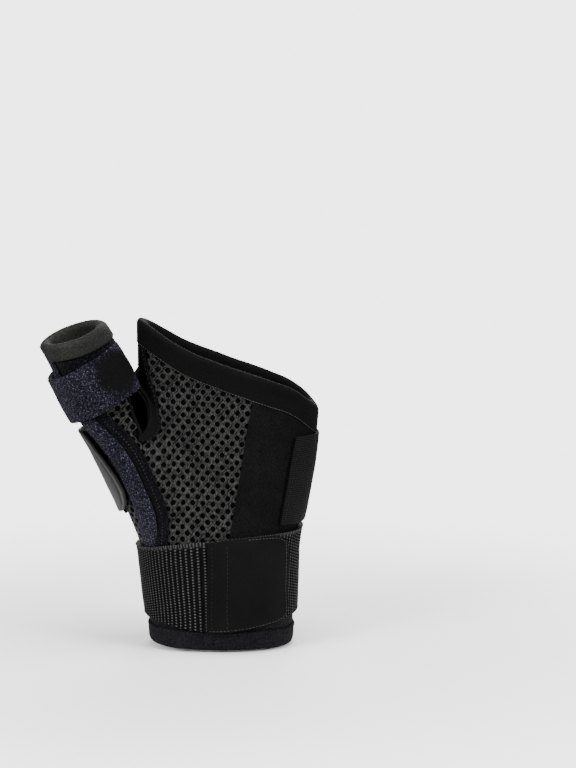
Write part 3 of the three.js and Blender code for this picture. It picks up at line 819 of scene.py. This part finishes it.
# %% [markdown]
# ## The ribbed wrist strap
# The wrist strap is thick elastic with upright ribs, and each rib is a row of small knots. The ribs are real
# relief: the grid is fine enough to lift every knot a little above the valley beside it.

# %% Wrist strap
def strap_edges(x):
    t = np.clip((x / 44.25 + 1) / 2, 0, 1)
    high = 20 * (0.58 * (1 - t) ** 2 + 2.26 * t * (1 - t) + 1.08 * t * t)
    low = -20 * (0.57 * (1 - t) ** 2 + 2.84 * t * (1 - t) + 0.52 * t * t)
    return low, high


ROUND, RIBS, KNOTS, OUTSIDE = 196.0, 94, 30, 0.9


def strap_place(u, v):
    """v runs up the outside of the strap, then down its inside."""
    turn = u * 2 * np.pi
    x = hand_point(turn, 0 * turn, 4)[:, 0]
    low, high = strap_edges(x)
    up = np.where(v < OUTSIDE + 0.001, v / OUTSIDE, (1 - v) / (1 - OUTSIDE))
    ribs = np.cos(2 * np.pi * u * RIBS)
    knots = np.cos(2 * np.pi * up * KNOTS) * np.cos(np.pi * u * RIBS)
    inner = np.clip(np.minimum(up, 1 - up) / 0.035, 0, 1)
    face = 2.9 + inner * (0.24 * ribs + 0.14 * knots) + (1 - inner) * 0.3
    off = np.where((v < OUTSIDE + 0.001) | (v > 0.999), face, 1.1)
    z = low + (high - low) * up
    return on_drum(turn, z) + off[:, None] * drum_way(turn, z)[1]


cloth, u, v = cloth_grid(470, 100)
lay_cloth(cloth, u, v, strap_place(u, v), (ROUND, 40 / OUTSIDE), closed=True)
wrist_strap = write_mesh("wrist_elastic", cloth)
report(wrist_strap)

# %% Wrist tab
TAB_LEFT, TAB_RIGHT = -4.5, 29.5


def wrist_tab_place(u, v):
    right = np.clip((u - 0.8) / 0.2, 0, 1)
    pull = 1 - np.sqrt(np.clip(1 - right ** 2.6, 0.0, 1))
    x = TAB_LEFT + (TAB_RIGHT - TAB_LEFT) * u
    low, high = strap_edges(x)
    low, high = low + 0.2 + 6 * pull, high - 0.5 - 6 * pull
    z = low + (high - low) * v
    turn = hand_turn(np.minimum(x, 33.3), z, 5.0)
    return on_drum(turn, z)


cloth, u, v = cloth_grid(80, 70)
lay_cloth(cloth, u, v, wrist_tab_place(u, v), (42, 40), lift=3.5)
wrist_tab = write_mesh("wrist_hook_tab", cloth)
thicken(wrist_tab, 1.2, levels=0)
report(wrist_tab)

# %% [markdown]
# ## The strap across the back of the hand
# A webbing strap is sewn on near the little finger's side and runs across the back to the thumb's base. There it
# ends in a smooth hook tab with a rounded lower end.

# %% Hand strap
HOOK_EDGE = np.array([(29.5, -44.45), (31.9, -40.25), (36.85, -39.2), (41.8, -40.25), (47.85, -43.4), (53.8, -47.6), (59.0, -51.8), (64.9, -56.0), (66.7, -58.1)])


def turn_at_front(x_wanted, z, offset):
    """Turn on the thumb's side where the lifted form, seen from the front, reaches a given x."""
    sweep = np.radians(np.linspace(215, 110, 106))
    found = np.empty_like(z)
    for i, (x, height) in enumerate(zip(x_wanted, z)):
        level = np.full_like(sweep, height)
        line = (on_drum(sweep, level) + offset * drum_way(sweep, level)[1])[:, 0]
        first = int(np.argmin(line))
        found[i] = np.interp(x, np.maximum.accumulate(line[first:]), sweep[first:])
    return found


def hand_strap_place(u, v):
    z = 24.4 + 3.5 * (1 - u) + 37.5 * v
    first = turn_at_front(np.interp(z, HOOK_EDGE[:, 0], HOOK_EDGE[:, 1]) - 1.5, z, 4)
    last = np.radians(360) + hand_turn(np.interp(z, [22, 68], [25.5, 33.6]), z, 3.5)
    return on_drum(first + (last - first) * u, z)


cloth, u, v = cloth_grid(110, 30)
lay_cloth(cloth, u, v, hand_strap_place(u, v), (140, 37.5), lift=1.2)
hand_strap = write_mesh("hand_webbing", cloth)
thicken(hand_strap, 1.8, levels=1)
report(hand_strap)


def hand_tab_place(u, v):
    z = 29.6 + (66.5 - 29.6) * v
    first = turn_at_front(np.interp(z, HOOK_EDGE[:, 0], HOOK_EDGE[:, 1]) - 0.9, z, 5)
    corner = np.clip((35.6 - z) / 6, 0, 1)
    first = first + math.radians(24) * (1 - np.sqrt(1 - corner * corner))
    last = np.radians(197 + 4 * v)
    return on_drum(last + (first - last) * u, z)


cloth, u, v = cloth_grid(40, 60)
lay_cloth(cloth, u, v, hand_tab_place(u, v), (18, 40), lift=3.3)
hand_tab = write_mesh("hand_hook_tab", cloth)
thicken(hand_tab, 1.3, levels=1)
report(hand_tab)

# %% [markdown]
# ## Stitches
# Sewn lines hold the tapes and tabs. One stitch is a small stretched ball of few faces, and it is set again and
# again along a line that lies on the outer face of the cloth.

# %% Rows of stitches
def raised(points, lift):
    """Points lifted off the form along its normals."""
    lifted = np.empty_like(points)
    for i, point in enumerate(points):
        spot, normal, _, _ = FORM.find_nearest(Vector(point * MM))
        lifted[i] = np.array(spot[:]) / MM + lift * np.array(normal[:])
    return lifted


def stitch_row(threads, line, pitch=2.0, length=1.5, radius=0.2, closed=False):
    """Adds stitches to threads along a line of points."""
    line = np.concatenate([line, line[:1]]) if closed else line
    run = np.concatenate([[0], np.cumsum(np.linalg.norm(np.diff(line, axis=0), axis=1))])
    for start in np.arange(pitch / 2, run[-1] - pitch / 2, pitch):
        ends = [Vector([np.interp(start + shift, run, line[:, k]) for k in range(3)]) for shift in (-length / 2, length / 2)]
        way = ends[1] - ends[0]
        if way.length < 0.2:
            continue
        frame_of_stitch = way.to_track_quat("Z", "Y").to_matrix().to_4x4()
        frame_of_stitch.translation = (ends[0] + ends[1]) / 2 * MM
        shape = Matrix.Diagonal((radius * MM, radius * MM, way.length / 2 * MM, 1))
        bmesh.ops.create_icosphere(threads, subdivisions=1, radius=1, matrix=frame_of_stitch @ shape)


def finish_threads(name, threads):
    layer = threads.loops.layers.uv.new("cut")
    for face in threads.faces:
        for loop in face.loops:
            loop[layer].uv = loop.vert.co.xz
    piece = write_mesh(name, threads)
    report(piece)
    return piece


# %% Dark thread on the tapes
sweep = np.linspace(0, 2 * np.pi, 240, endpoint=False)
dark_threads = bmesh.new()
height = np.full_like(sweep, 90.0)
for _ in range(4):
    height = top_edge(hand_point(sweep, height, 3.55)[:, 0]) - 1.0 - 8.5
edge_line = hand_point(sweep, height - 0.5, 3.45)
hem_line = hand_point(sweep, np.full_like(sweep, -21.0), 3.6)
hem_line[:, 2] = -HEM_DROP + 1.0 - 0.02 * hem_line[:, 0] + 5.6
stitch_row(dark_threads, hem_line, pitch=2.2, length=1.6, radius=0.2, closed=True)
rim_line = thumb_point(sweep, rim_station(sweep, 5.2, 3.6), 3.6)
stitch_row(dark_threads, rim_line, pitch=1.9, length=1.4, radius=0.2, closed=True)
t = np.linspace(0.03, 0.97, 60)
facing_line = along(FACING_FAR, t) + (-0.8, 0)
stitch_row(dark_threads, raised(from_front(facing_line[:, 0], facing_line[:, 1]), 1.9), pitch=2.0, length=1.5)
for x in (-2.4, 4.2):
    low, high = strap_edges(np.array([x]))
    z = np.linspace(float(low[0]) + 1.5, float(high[0]) - 1.5, 40)
    stitch_row(dark_threads, raised(on_drum(hand_turn(np.full_like(z, x), z, 5), z), 4.75), pitch=1.8, length=1.4)
z = np.linspace(26.5, 61.5, 40)
end_turn = hand_turn(np.interp(z, [22, 68], [25.5, 33.6]) + 1.6, z, 3.5)
stitch_row(dark_threads, raised(on_drum(end_turn, z), 3.05), pitch=2.0, length=1.5)
dark_stitches = finish_threads("dark_stitches", dark_threads)

# %% Light thread on the seam and round the hook tabs
light_threads = bmesh.new()
stitch_row(light_threads, edge_line, pitch=1.3, length=1.4, radius=0.2, closed=True)
t = np.linspace(0.04, 0.98, 90)
stitch_row(light_threads, raised(tape_place(np.full_like(t, 0.55), t), 1.8), pitch=1.55, length=0.8, radius=0.16)
edge_u = np.concatenate([np.linspace(0.02, 0.965, 60), np.full(50, 0.965), np.linspace(0.965, 0.5, 30)])
edge_v = np.concatenate([np.full(60, 0.02), np.linspace(0.02, 0.98, 50), np.full(30, 0.98)])
stitch_row(light_threads, raised(wrist_tab_place(edge_u, edge_v), 4.75), pitch=1.5, length=1.25, radius=0.16)
light_stitches = finish_threads("light_stitches", light_threads)

# %% [markdown]
# ## Finishes
# All the cloth is nearly black, so the finishes differ in how they break up light. Each one has a weave or nap at
# its real scale, a slow change of tone over the piece, and a bump that gives the light something to catch.

# %% Helpers for a cloth finish
def cloth_finish(name, roughness, sheen=0.0, gloss=0.04):
    material = bpy.data.materials.new(name)
    material.use_nodes = True
    tree = material.node_tree
    shader = tree.nodes["Principled BSDF"]
    shader.inputs["Roughness"].default_value = roughness
    shader.inputs["Specular IOR Level"].default_value = gloss
    shader.inputs["Sheen Weight"].default_value = sheen
    shader.inputs["Sheen Roughness"].default_value = 0.5
    return material, tree, shader


def node(tree, kind, values=None, **settings):
    made = tree.nodes.new(kind)
    for key, value in settings.items():
        setattr(made, key, value)
    for key, value in (values or {}).items():
        socket = made.inputs[key]
        if isinstance(value, bpy.types.NodeSocket):
            tree.links.new(value, socket)
        else:
            socket.default_value = value
    return made


def cut_place(tree, across, along, turn=0.0):
    """Cut coordinates in metres, scaled to repeats a metre."""
    uv = node(tree, "ShaderNodeUVMap", uv_map="cut")
    return node(tree, "ShaderNodeMapping", {"Vector": uv.outputs[0], "Scale": (across, along, 1), "Rotation": (0, 0, turn)}).outputs[0]


def object_place(tree, scale=1.0):
    place = node(tree, "ShaderNodeTexCoord")
    return node(tree, "ShaderNodeMapping", {"Vector": place.outputs["Object"], "Scale": (scale, scale, scale)}).outputs[0]


def grains(tree, place, scale, detail=2.0, roughness=0.6):
    return node(tree, "ShaderNodeTexNoise", {"Vector": place, "Scale": scale, "Detail": detail, "Roughness": roughness}).outputs["Fac"]


def tones(tree, factor, stops):
    ramp = node(tree, "ShaderNodeValToRGB", {"Fac": factor})
    while len(ramp.color_ramp.elements) < len(stops):
        ramp.color_ramp.elements.new(0.5)
    for element, (position, colour) in zip(ramp.color_ramp.elements, stops):
        element.position = position
        element.color = (*colour, 1)
    return ramp.outputs["Color"]


def blend(tree, factor, first, second, kind="MIX"):
    mix = node(tree, "ShaderNodeMix", data_type="RGBA", blend_type=kind)
    for socket, value in zip((mix.inputs[0], mix.inputs[6], mix.inputs[7]), (factor, first, second)):
        if isinstance(value, bpy.types.NodeSocket):
            tree.links.new(value, socket)
        else:
            socket.default_value = value
    return mix.outputs[2]


def relief(tree, shader, height, distance_mm, strength=1.0):
    bump = node(tree, "ShaderNodeBump", {"Height": height, "Distance": distance_mm * MM, "Strength": strength})
    tree.links.new(bump.outputs["Normal"], shader.inputs["Normal"])


# %% Dull black cloth and tape
def dull_cloth(name, dark, light, grain_mm, bump_mm, roughness=0.85, sheen=0.0):
    material, tree, shader = cloth_finish(name, roughness, sheen)
    place = object_place(tree)
    fine = grains(tree, place, 1000 / grain_mm, 3)
    slow = grains(tree, place, 45, 2)
    colour = tones(tree, fine, [(0.35, dark), (0.62, light)])
    shade = tones(tree, slow, [(0.3, (0.72, 0.72, 0.74)), (0.7, (1.2, 1.2, 1.18))])
    tree.links.new(blend(tree, 1.0, colour, shade, "MULTIPLY"), shader.inputs["Base Color"])
    relief(tree, shader, fine, bump_mm)
    return material


body_black = dull_cloth("body_black", (0.0013, 0.0013, 0.0014), (0.0044, 0.0044, 0.0047), 0.6, 0.12)
tape_black = dull_cloth("tape_black", (0.0015, 0.0015, 0.0015), (0.0032, 0.0032, 0.0031), 0.5, 0.05, 0.8)
rim_grey = dull_cloth("rim_grey", (0.0060, 0.0062, 0.0058), (0.0210, 0.0220, 0.0195), 0.5, 0.08, 0.75)
hook_black = dull_cloth("hook_black", (0.0018, 0.0018, 0.0018), (0.0034, 0.0034, 0.0033), 0.35, 0.03, 0.7)
hook_grey = dull_cloth("hook_grey", (0.022, 0.022, 0.022), (0.040, 0.040, 0.039), 0.4, 0.04, 0.6)
hem_black = dull_cloth("hem_black", (0.0015, 0.0015, 0.0018), (0.0088, 0.0088, 0.0100), 0.7, 0.2)
lining_grey = dull_cloth("lining_knit", (0.0008, 0.0008, 0.0009), (0.0030, 0.0030, 0.0033), 0.9, 0.25)


# %% Napped cloth of tiny loops
def loop_tones(tree, dark, light, spot, size_mm=0.5):
    """Colour of the loops, with painted highlight on each loop's tip and painted shade between loops, and the distance
    from each loop's tip.
    """
    place = object_place(tree)
    loops = node(tree, "ShaderNodeTexVoronoi", {"Vector": place, "Scale": 1000 / size_mm}, feature="F1").outputs["Distance"]
    patches = grains(tree, place, 1500, 3)
    slow = grains(tree, place, 60, 2)
    colour = tones(tree, patches, [(0.40, dark), (0.55, light), (0.70, spot)])
    shade = tones(tree, slow, [(0.3, (0.7, 0.7, 0.72)), (0.7, (1.25, 1.25, 1.22))])
    # Painted highlight on the tip of each loop and painted shade in the gaps between loops.
    lit_tips_shaded_gaps = tones(tree, loops, [(0.15, (1.5, 1.5, 1.5)), (0.6, (0.35, 0.35, 0.35))])
    return blend(tree, 1.0, blend(tree, 1.0, colour, shade, "MULTIPLY"), lit_tips_shaded_gaps, "MULTIPLY"), loops


def loop_pile(name, dark, light, spot):
    material, tree, shader = cloth_finish(name, 0.95, 0.02)
    colour, loops = loop_tones(tree, dark, light, spot)
    tree.links.new(colour, shader.inputs["Base Color"])
    relief(tree, shader, loops, 0.45)
    return material


NAVY = ((0.0034, 0.0032, 0.0062), (0.0170, 0.0155, 0.0280), (0.1000, 0.0910, 0.1320))
navy_loops = loop_pile("navy_loops", *NAVY)
# The thumb sleeve's loops are a darker copy of the same loop pile: painted shade.
loops_in_painted_shade = loop_pile("loops_in_painted_shade", (0.0016, 0.0016, 0.0024), (0.0050, 0.0050, 0.0080), (0.0300, 0.0290, 0.0380))
seam_loops = loop_pile("seam_loops", (0.0014, 0.0014, 0.0020), (0.0036, 0.0036, 0.0052), (0.0150, 0.0145, 0.0185))


# %% The hook end, with a soft dark edge of painted shadow where it fades into the loops
def hook_patch_with_shadow_fade(name, wide, tall):
    """Dark hooks in the middle, fading into the loops towards the edge; the soft dark fade is painted shadow."""
    material, tree, shader = cloth_finish(name, 0.9, 0.0)
    loops_colour, loops = loop_tones(tree, *NAVY)
    hooks = tones(tree, grains(tree, object_place(tree), 2600, 3), [(0.35, (0.0018, 0.0018, 0.0019)), (0.65, (0.0042, 0.0042, 0.0042))])
    middle = node(tree, "ShaderNodeMapping", {
        "Vector": node(tree, "ShaderNodeUVMap", uv_map="cut").outputs[0],
        "Scale": (2000 / wide, 2000 / tall, 0), "Location": (-1.2, -1.15, 0)}).outputs[0]
    reach = node(tree, "ShaderNodeVectorMath", {0: middle}, operation="LENGTH").outputs["Value"]
    stray = node(tree, "ShaderNodeMath", {0: grains(tree, object_place(tree), 900, 3), 1: 1.5, 2: reach}, operation="MULTIPLY_ADD").outputs[0]
    share = node(tree, "ShaderNodeMapRange", {"Value": stray, "From Min": 1.5, "From Max": 1.95}).outputs["Result"]
    # Hook colour in the middle blends into the loops with noise towards the edge: this dark fade is painted shadow of
    # the strap turning away.
    tree.links.new(blend(tree, share, hooks, loops_colour, "MIX"), shader.inputs["Base Color"])
    relief(tree, shader, loops, 0.25)
    return material


hook_end_and_painted_shadow = hook_patch_with_shadow_fade("hook_end_and_painted_shadow", 16.8, 21.4)

# %% Air mesh, elastic and webbing
def mesh_strands(name, dark, light):
    material, tree, shader = cloth_finish(name, 0.5, 0.0)
    knit = grains(tree, cut_place(tree, 2.1, 0.8), 1000, 4, 0.65)
    slow = grains(tree, object_place(tree), 220, 3)
    colour = tones(tree, knit, [(0.40, dark), (0.62, light)])
    shade = tones(tree, slow, [(0.3, (0.7, 0.7, 0.7)), (0.7, (1.3, 1.3, 1.3))])
    tree.links.new(blend(tree, 1.0, colour, shade, "MULTIPLY"), shader.inputs["Base Color"])
    relief(tree, shader, knit, 0.2)
    return material


air_mesh = mesh_strands("air_mesh", (0.0060, 0.0060, 0.0060), (0.0390, 0.0390, 0.0378))
# The same air mesh with its light tone halved for the nets on the back and round the thumb's base: painted shade.
air_mesh_painted_shade = mesh_strands("air_mesh_painted_shade", (0.0060, 0.0060, 0.0060), (0.0200, 0.0200, 0.0195))


def ribbed(name):
    material, tree, shader = cloth_finish(name, 0.6, 0.0)
    cut = node(tree, "ShaderNodeSeparateXYZ", {0: node(tree, "ShaderNodeUVMap", uv_map="cut").outputs[0]})
    stray = grains(tree, object_place(tree), 420, 2)

    def wave(value, per_metre):
        angle = node(tree, "ShaderNodeMath", {0: value, 1: 2 * math.pi * per_metre}, operation="MULTIPLY").outputs[0]
        return node(tree, "ShaderNodeMath", {0: angle}, operation="COSINE").outputs[0]

    def times(first, second):
        return node(tree, "ShaderNodeMath", {0: first, 1: second}, operation="MULTIPLY").outputs[0]

    rib = wave(cut.outputs["X"], 1000 * RIBS / ROUND)
    parity = wave(cut.outputs["X"], 500 * RIBS / ROUND)
    knot = times(wave(cut.outputs["Y"], 1000 * KNOTS / 40), parity)
    height = node(tree, "ShaderNodeMath", {0: rib, 1: times(knot, 0.9), 2: 0.0}, operation="ADD").outputs[0]
    height = node(tree, "ShaderNodeMath", {0: height, 1: stray}, operation="ADD").outputs[0]
    share = node(tree, "ShaderNodeMapRange", {"Value": height, "From Min": -1.0, "From Max": 2.6}).outputs["Result"]
    # The tops of the ribs and knots are painted lighter and the valleys near black: painted highlight and painted shade
    # over the real relief.
    colour = tones(tree, share, [
        (0.45, (0.0010, 0.0010, 0.0011)), (0.66, (0.0055, 0.0055, 0.0058)), (0.86, (0.0560, 0.0560, 0.0570))])
    rim = node(tree, "ShaderNodeMapRange", {"Value": cut.outputs["Y"], "From Min": 0.0375, "From Max": 0.0390}).outputs["Result"]
    ticks = tones(tree, wave(cut.outputs["X"], 900), [(0.1, (0.0060, 0.0060, 0.0060)), (0.9, (0.0500, 0.0500, 0.0510))])
    tree.links.new(blend(tree, rim, colour, ticks), shader.inputs["Base Color"])
    relief(tree, shader, share, 0.25)
    return material


ribbed_elastic = ribbed("ribbed_elastic")


def webbing(name):
    material, tree, shader = cloth_finish(name, 0.65, 0.0)
    across = node(tree, "ShaderNodeTexWave", {"Vector": cut_place(tree, 1, 1), "Scale": 350}, bands_direction="X").outputs["Fac"]
    along_it = node(tree, "ShaderNodeTexWave", {"Vector": cut_place(tree, 1, 1), "Scale": 350}, bands_direction="Y").outputs["Fac"]
    grid = node(tree, "ShaderNodeMath", {0: across, 1: along_it}, operation="MULTIPLY").outputs[0]
    colour = tones(tree, grid, [(0.05, (0.0016, 0.0016, 0.0018)), (0.7, (0.0130, 0.0130, 0.0140))])
    tree.links.new(colour, shader.inputs["Base Color"])
    relief(tree, shader, grid, 0.3)
    return material


black_webbing = webbing("black_webbing")
dark_thread = dull_cloth("dark_thread", (0.0060, 0.0060, 0.0060), (0.0160, 0.0160, 0.0158), 0.3, 0.03, 0.6)
light_thread = dull_cloth("light_thread", (0.0080, 0.0080, 0.0078), (0.0520, 0.0510, 0.0490), 0.3, 0.03, 0.6)


# %% The grey hook tab with its pressed edge and a painted shadow along its outer edge
def edged_tab(name):
    material, tree, shader = cloth_finish(name, 0.55, 0.0, 0.15)
    place = object_place(tree)
    fine = grains(tree, place, 2400, 3)
    slow = grains(tree, place, 120, 3)
    colour = tones(tree, fine, [(0.35, (0.009, 0.009, 0.009)), (0.65, (0.021, 0.021, 0.0206))])
    shade = tones(tree, slow, [(0.3, (0.75, 0.75, 0.75)), (0.7, (1.25, 1.25, 1.25))])
    colour = blend(tree, 1.0, colour, shade, "MULTIPLY")
    across = node(tree, "ShaderNodeSeparateXYZ", {0: node(tree, "ShaderNodeUVMap", uv_map="cut").outputs[0]}).outputs["X"]
    share = node(tree, "ShaderNodeMapRange", {"Value": across, "From Min": 0.0, "From Max": 0.018}).outputs["Result"]
    # A dark groove line, a lighter rim line, and the last strip at the tab's outer edge darkened as painted shadow.
    line = tones(tree, share, [
        (0.895, (1, 1, 1)), (0.905, (0.1, 0.1, 0.1)), (0.935, (0.1, 0.1, 0.1)), (0.945, (2.1, 2.1, 2.05)),
        (0.965, (2.1, 2.1, 2.05)), (0.975, (0.4, 0.4, 0.4))])
    tree.links.new(blend(tree, 1.0, colour, line, "MULTIPLY"), shader.inputs["Base Color"])
    relief(tree, shader, fine, 0.04)
    return material


edged_grey = edged_tab("edged_grey")

# %% [markdown]
# ## Dressing the splint
# Each piece gets its finish, rides on the model's one body, and stands for its CAD node, which is hidden. The table
# also lists the record's slot that each piece belongs to.

# %% Finish, body, slot and node of each piece
DRESS = [
    (lining, lining_grey, "body_cloth", ["hand_wrap", "palm_mesh", "back_mesh", "thumb_sleeve"]),
    (side_panel, body_black, "body_cloth", ["hand_wrap"]),
    (hem_cloth, hem_black, "body_cloth", ["hand_wrap"]),
    (palm_net, air_mesh, "air_mesh", ["palm_mesh"]),
    (back_net, air_mesh_painted_shade, "air_mesh", ["back_mesh"]),
    (flank_net, air_mesh_painted_shade, "air_mesh", ["back_mesh"]),
    (top_binding, tape_black, "black_tape", ["top_binding"]),
    (hem_binding, hem_black, "black_tape", ["hem_binding"]),
    (thumb_binding, rim_grey, "grey_tape", ["thumb_binding"]),
    (web_facing, tape_black, "black_tape", ["web_facing"]),
    (seam_tape, seam_loops, "black_tape", ["seam_tape"]),
    (thumb_sleeve, loops_in_painted_shade, "loop_pile", ["thumb_sleeve"]),
    (thumb_strap, navy_loops, "loop_pile", ["thumb_strap"]),
    (stay_sleeve, navy_loops, "loop_pile", ["stay_sleeve"]),
    (thumb_hook, hook_end_and_painted_shadow, "hook_tape", ["thumb_hook_tab"]),
    (thumb_flap, hook_black, "hook_tape", ["thumb_strap_tab"]),
    (wrist_strap, ribbed_elastic, "elastic", ["wrist_strap"]),
    (wrist_tab, hook_black, "hook_tape", ["wrist_strap_tab"]),
    (hand_strap, black_webbing, "webbing", ["hand_strap"]),
    (hand_tab, edged_grey, "grey_hook_tape", ["hand_strap_tab"]),
    (web_roll, tape_black, "black_tape", ["web_facing"]),
    (dark_stitches, dark_thread, "black_tape", []),
    (light_stitches, light_thread, "black_tape", []),
]
for piece, finish, slot, nodes in DRESS:
    piece.data.materials.clear()
    piece.data.materials.append(finish)
    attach(piece, "root")
    if nodes:
        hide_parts(*nodes)
print("pieces:", len(DRESS))

# %% [markdown]
# Cloth that has been worn is never quite even. One slow, smooth field of shifts moves every piece together, so
# edges wander a little and layers still lie on each other as before.

# %% A little unevenness in all the cloth
def wander(point):
    slow = noise.noise_vector(point * 42.0) * 0.55
    quick = noise.noise_vector(point * 130.0 + Vector((7, 3, 5))) * 0.16
    return (slow + quick) * MM


for piece, *_ in DRESS:
    for vert in piece.data.vertices:
        vert.co += wander(vert.co)

# %% Floor
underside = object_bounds()[0][2]
floor_cloth = bmesh.new()
bmesh.ops.create_grid(floor_cloth, x_segments=2, y_segments=2, size=4)
bmesh.ops.translate(floor_cloth, verts=floor_cloth.verts, vec=(0, 0, underside - 0.0001))
floor = write_mesh("floor", floor_cloth)
floor_finish, floor_tree, floor_shader = cloth_finish("pale_floor", 0.9)
floor_shader.inputs["Base Color"].default_value = (0.93, 0.93, 0.93, 1)
far_off = node(floor_tree, "ShaderNodeVectorMath", {0: node(floor_tree, "ShaderNodeTexCoord").outputs["Object"]}, operation="LENGTH").outputs["Value"]
fade = node(floor_tree, "ShaderNodeMapRange", {"Value": far_off, "From Min": 0.09, "From Max": 0.32, "To Min": 1.0, "To Max": 0.0}, interpolation_type="SMOOTHSTEP").outputs["Result"]
floor_tree.links.new(fade, floor_shader.inputs["Alpha"])
floor.data.materials.append(floor_finish)
floor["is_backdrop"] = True

# %% The box of the finished scene
low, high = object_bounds()
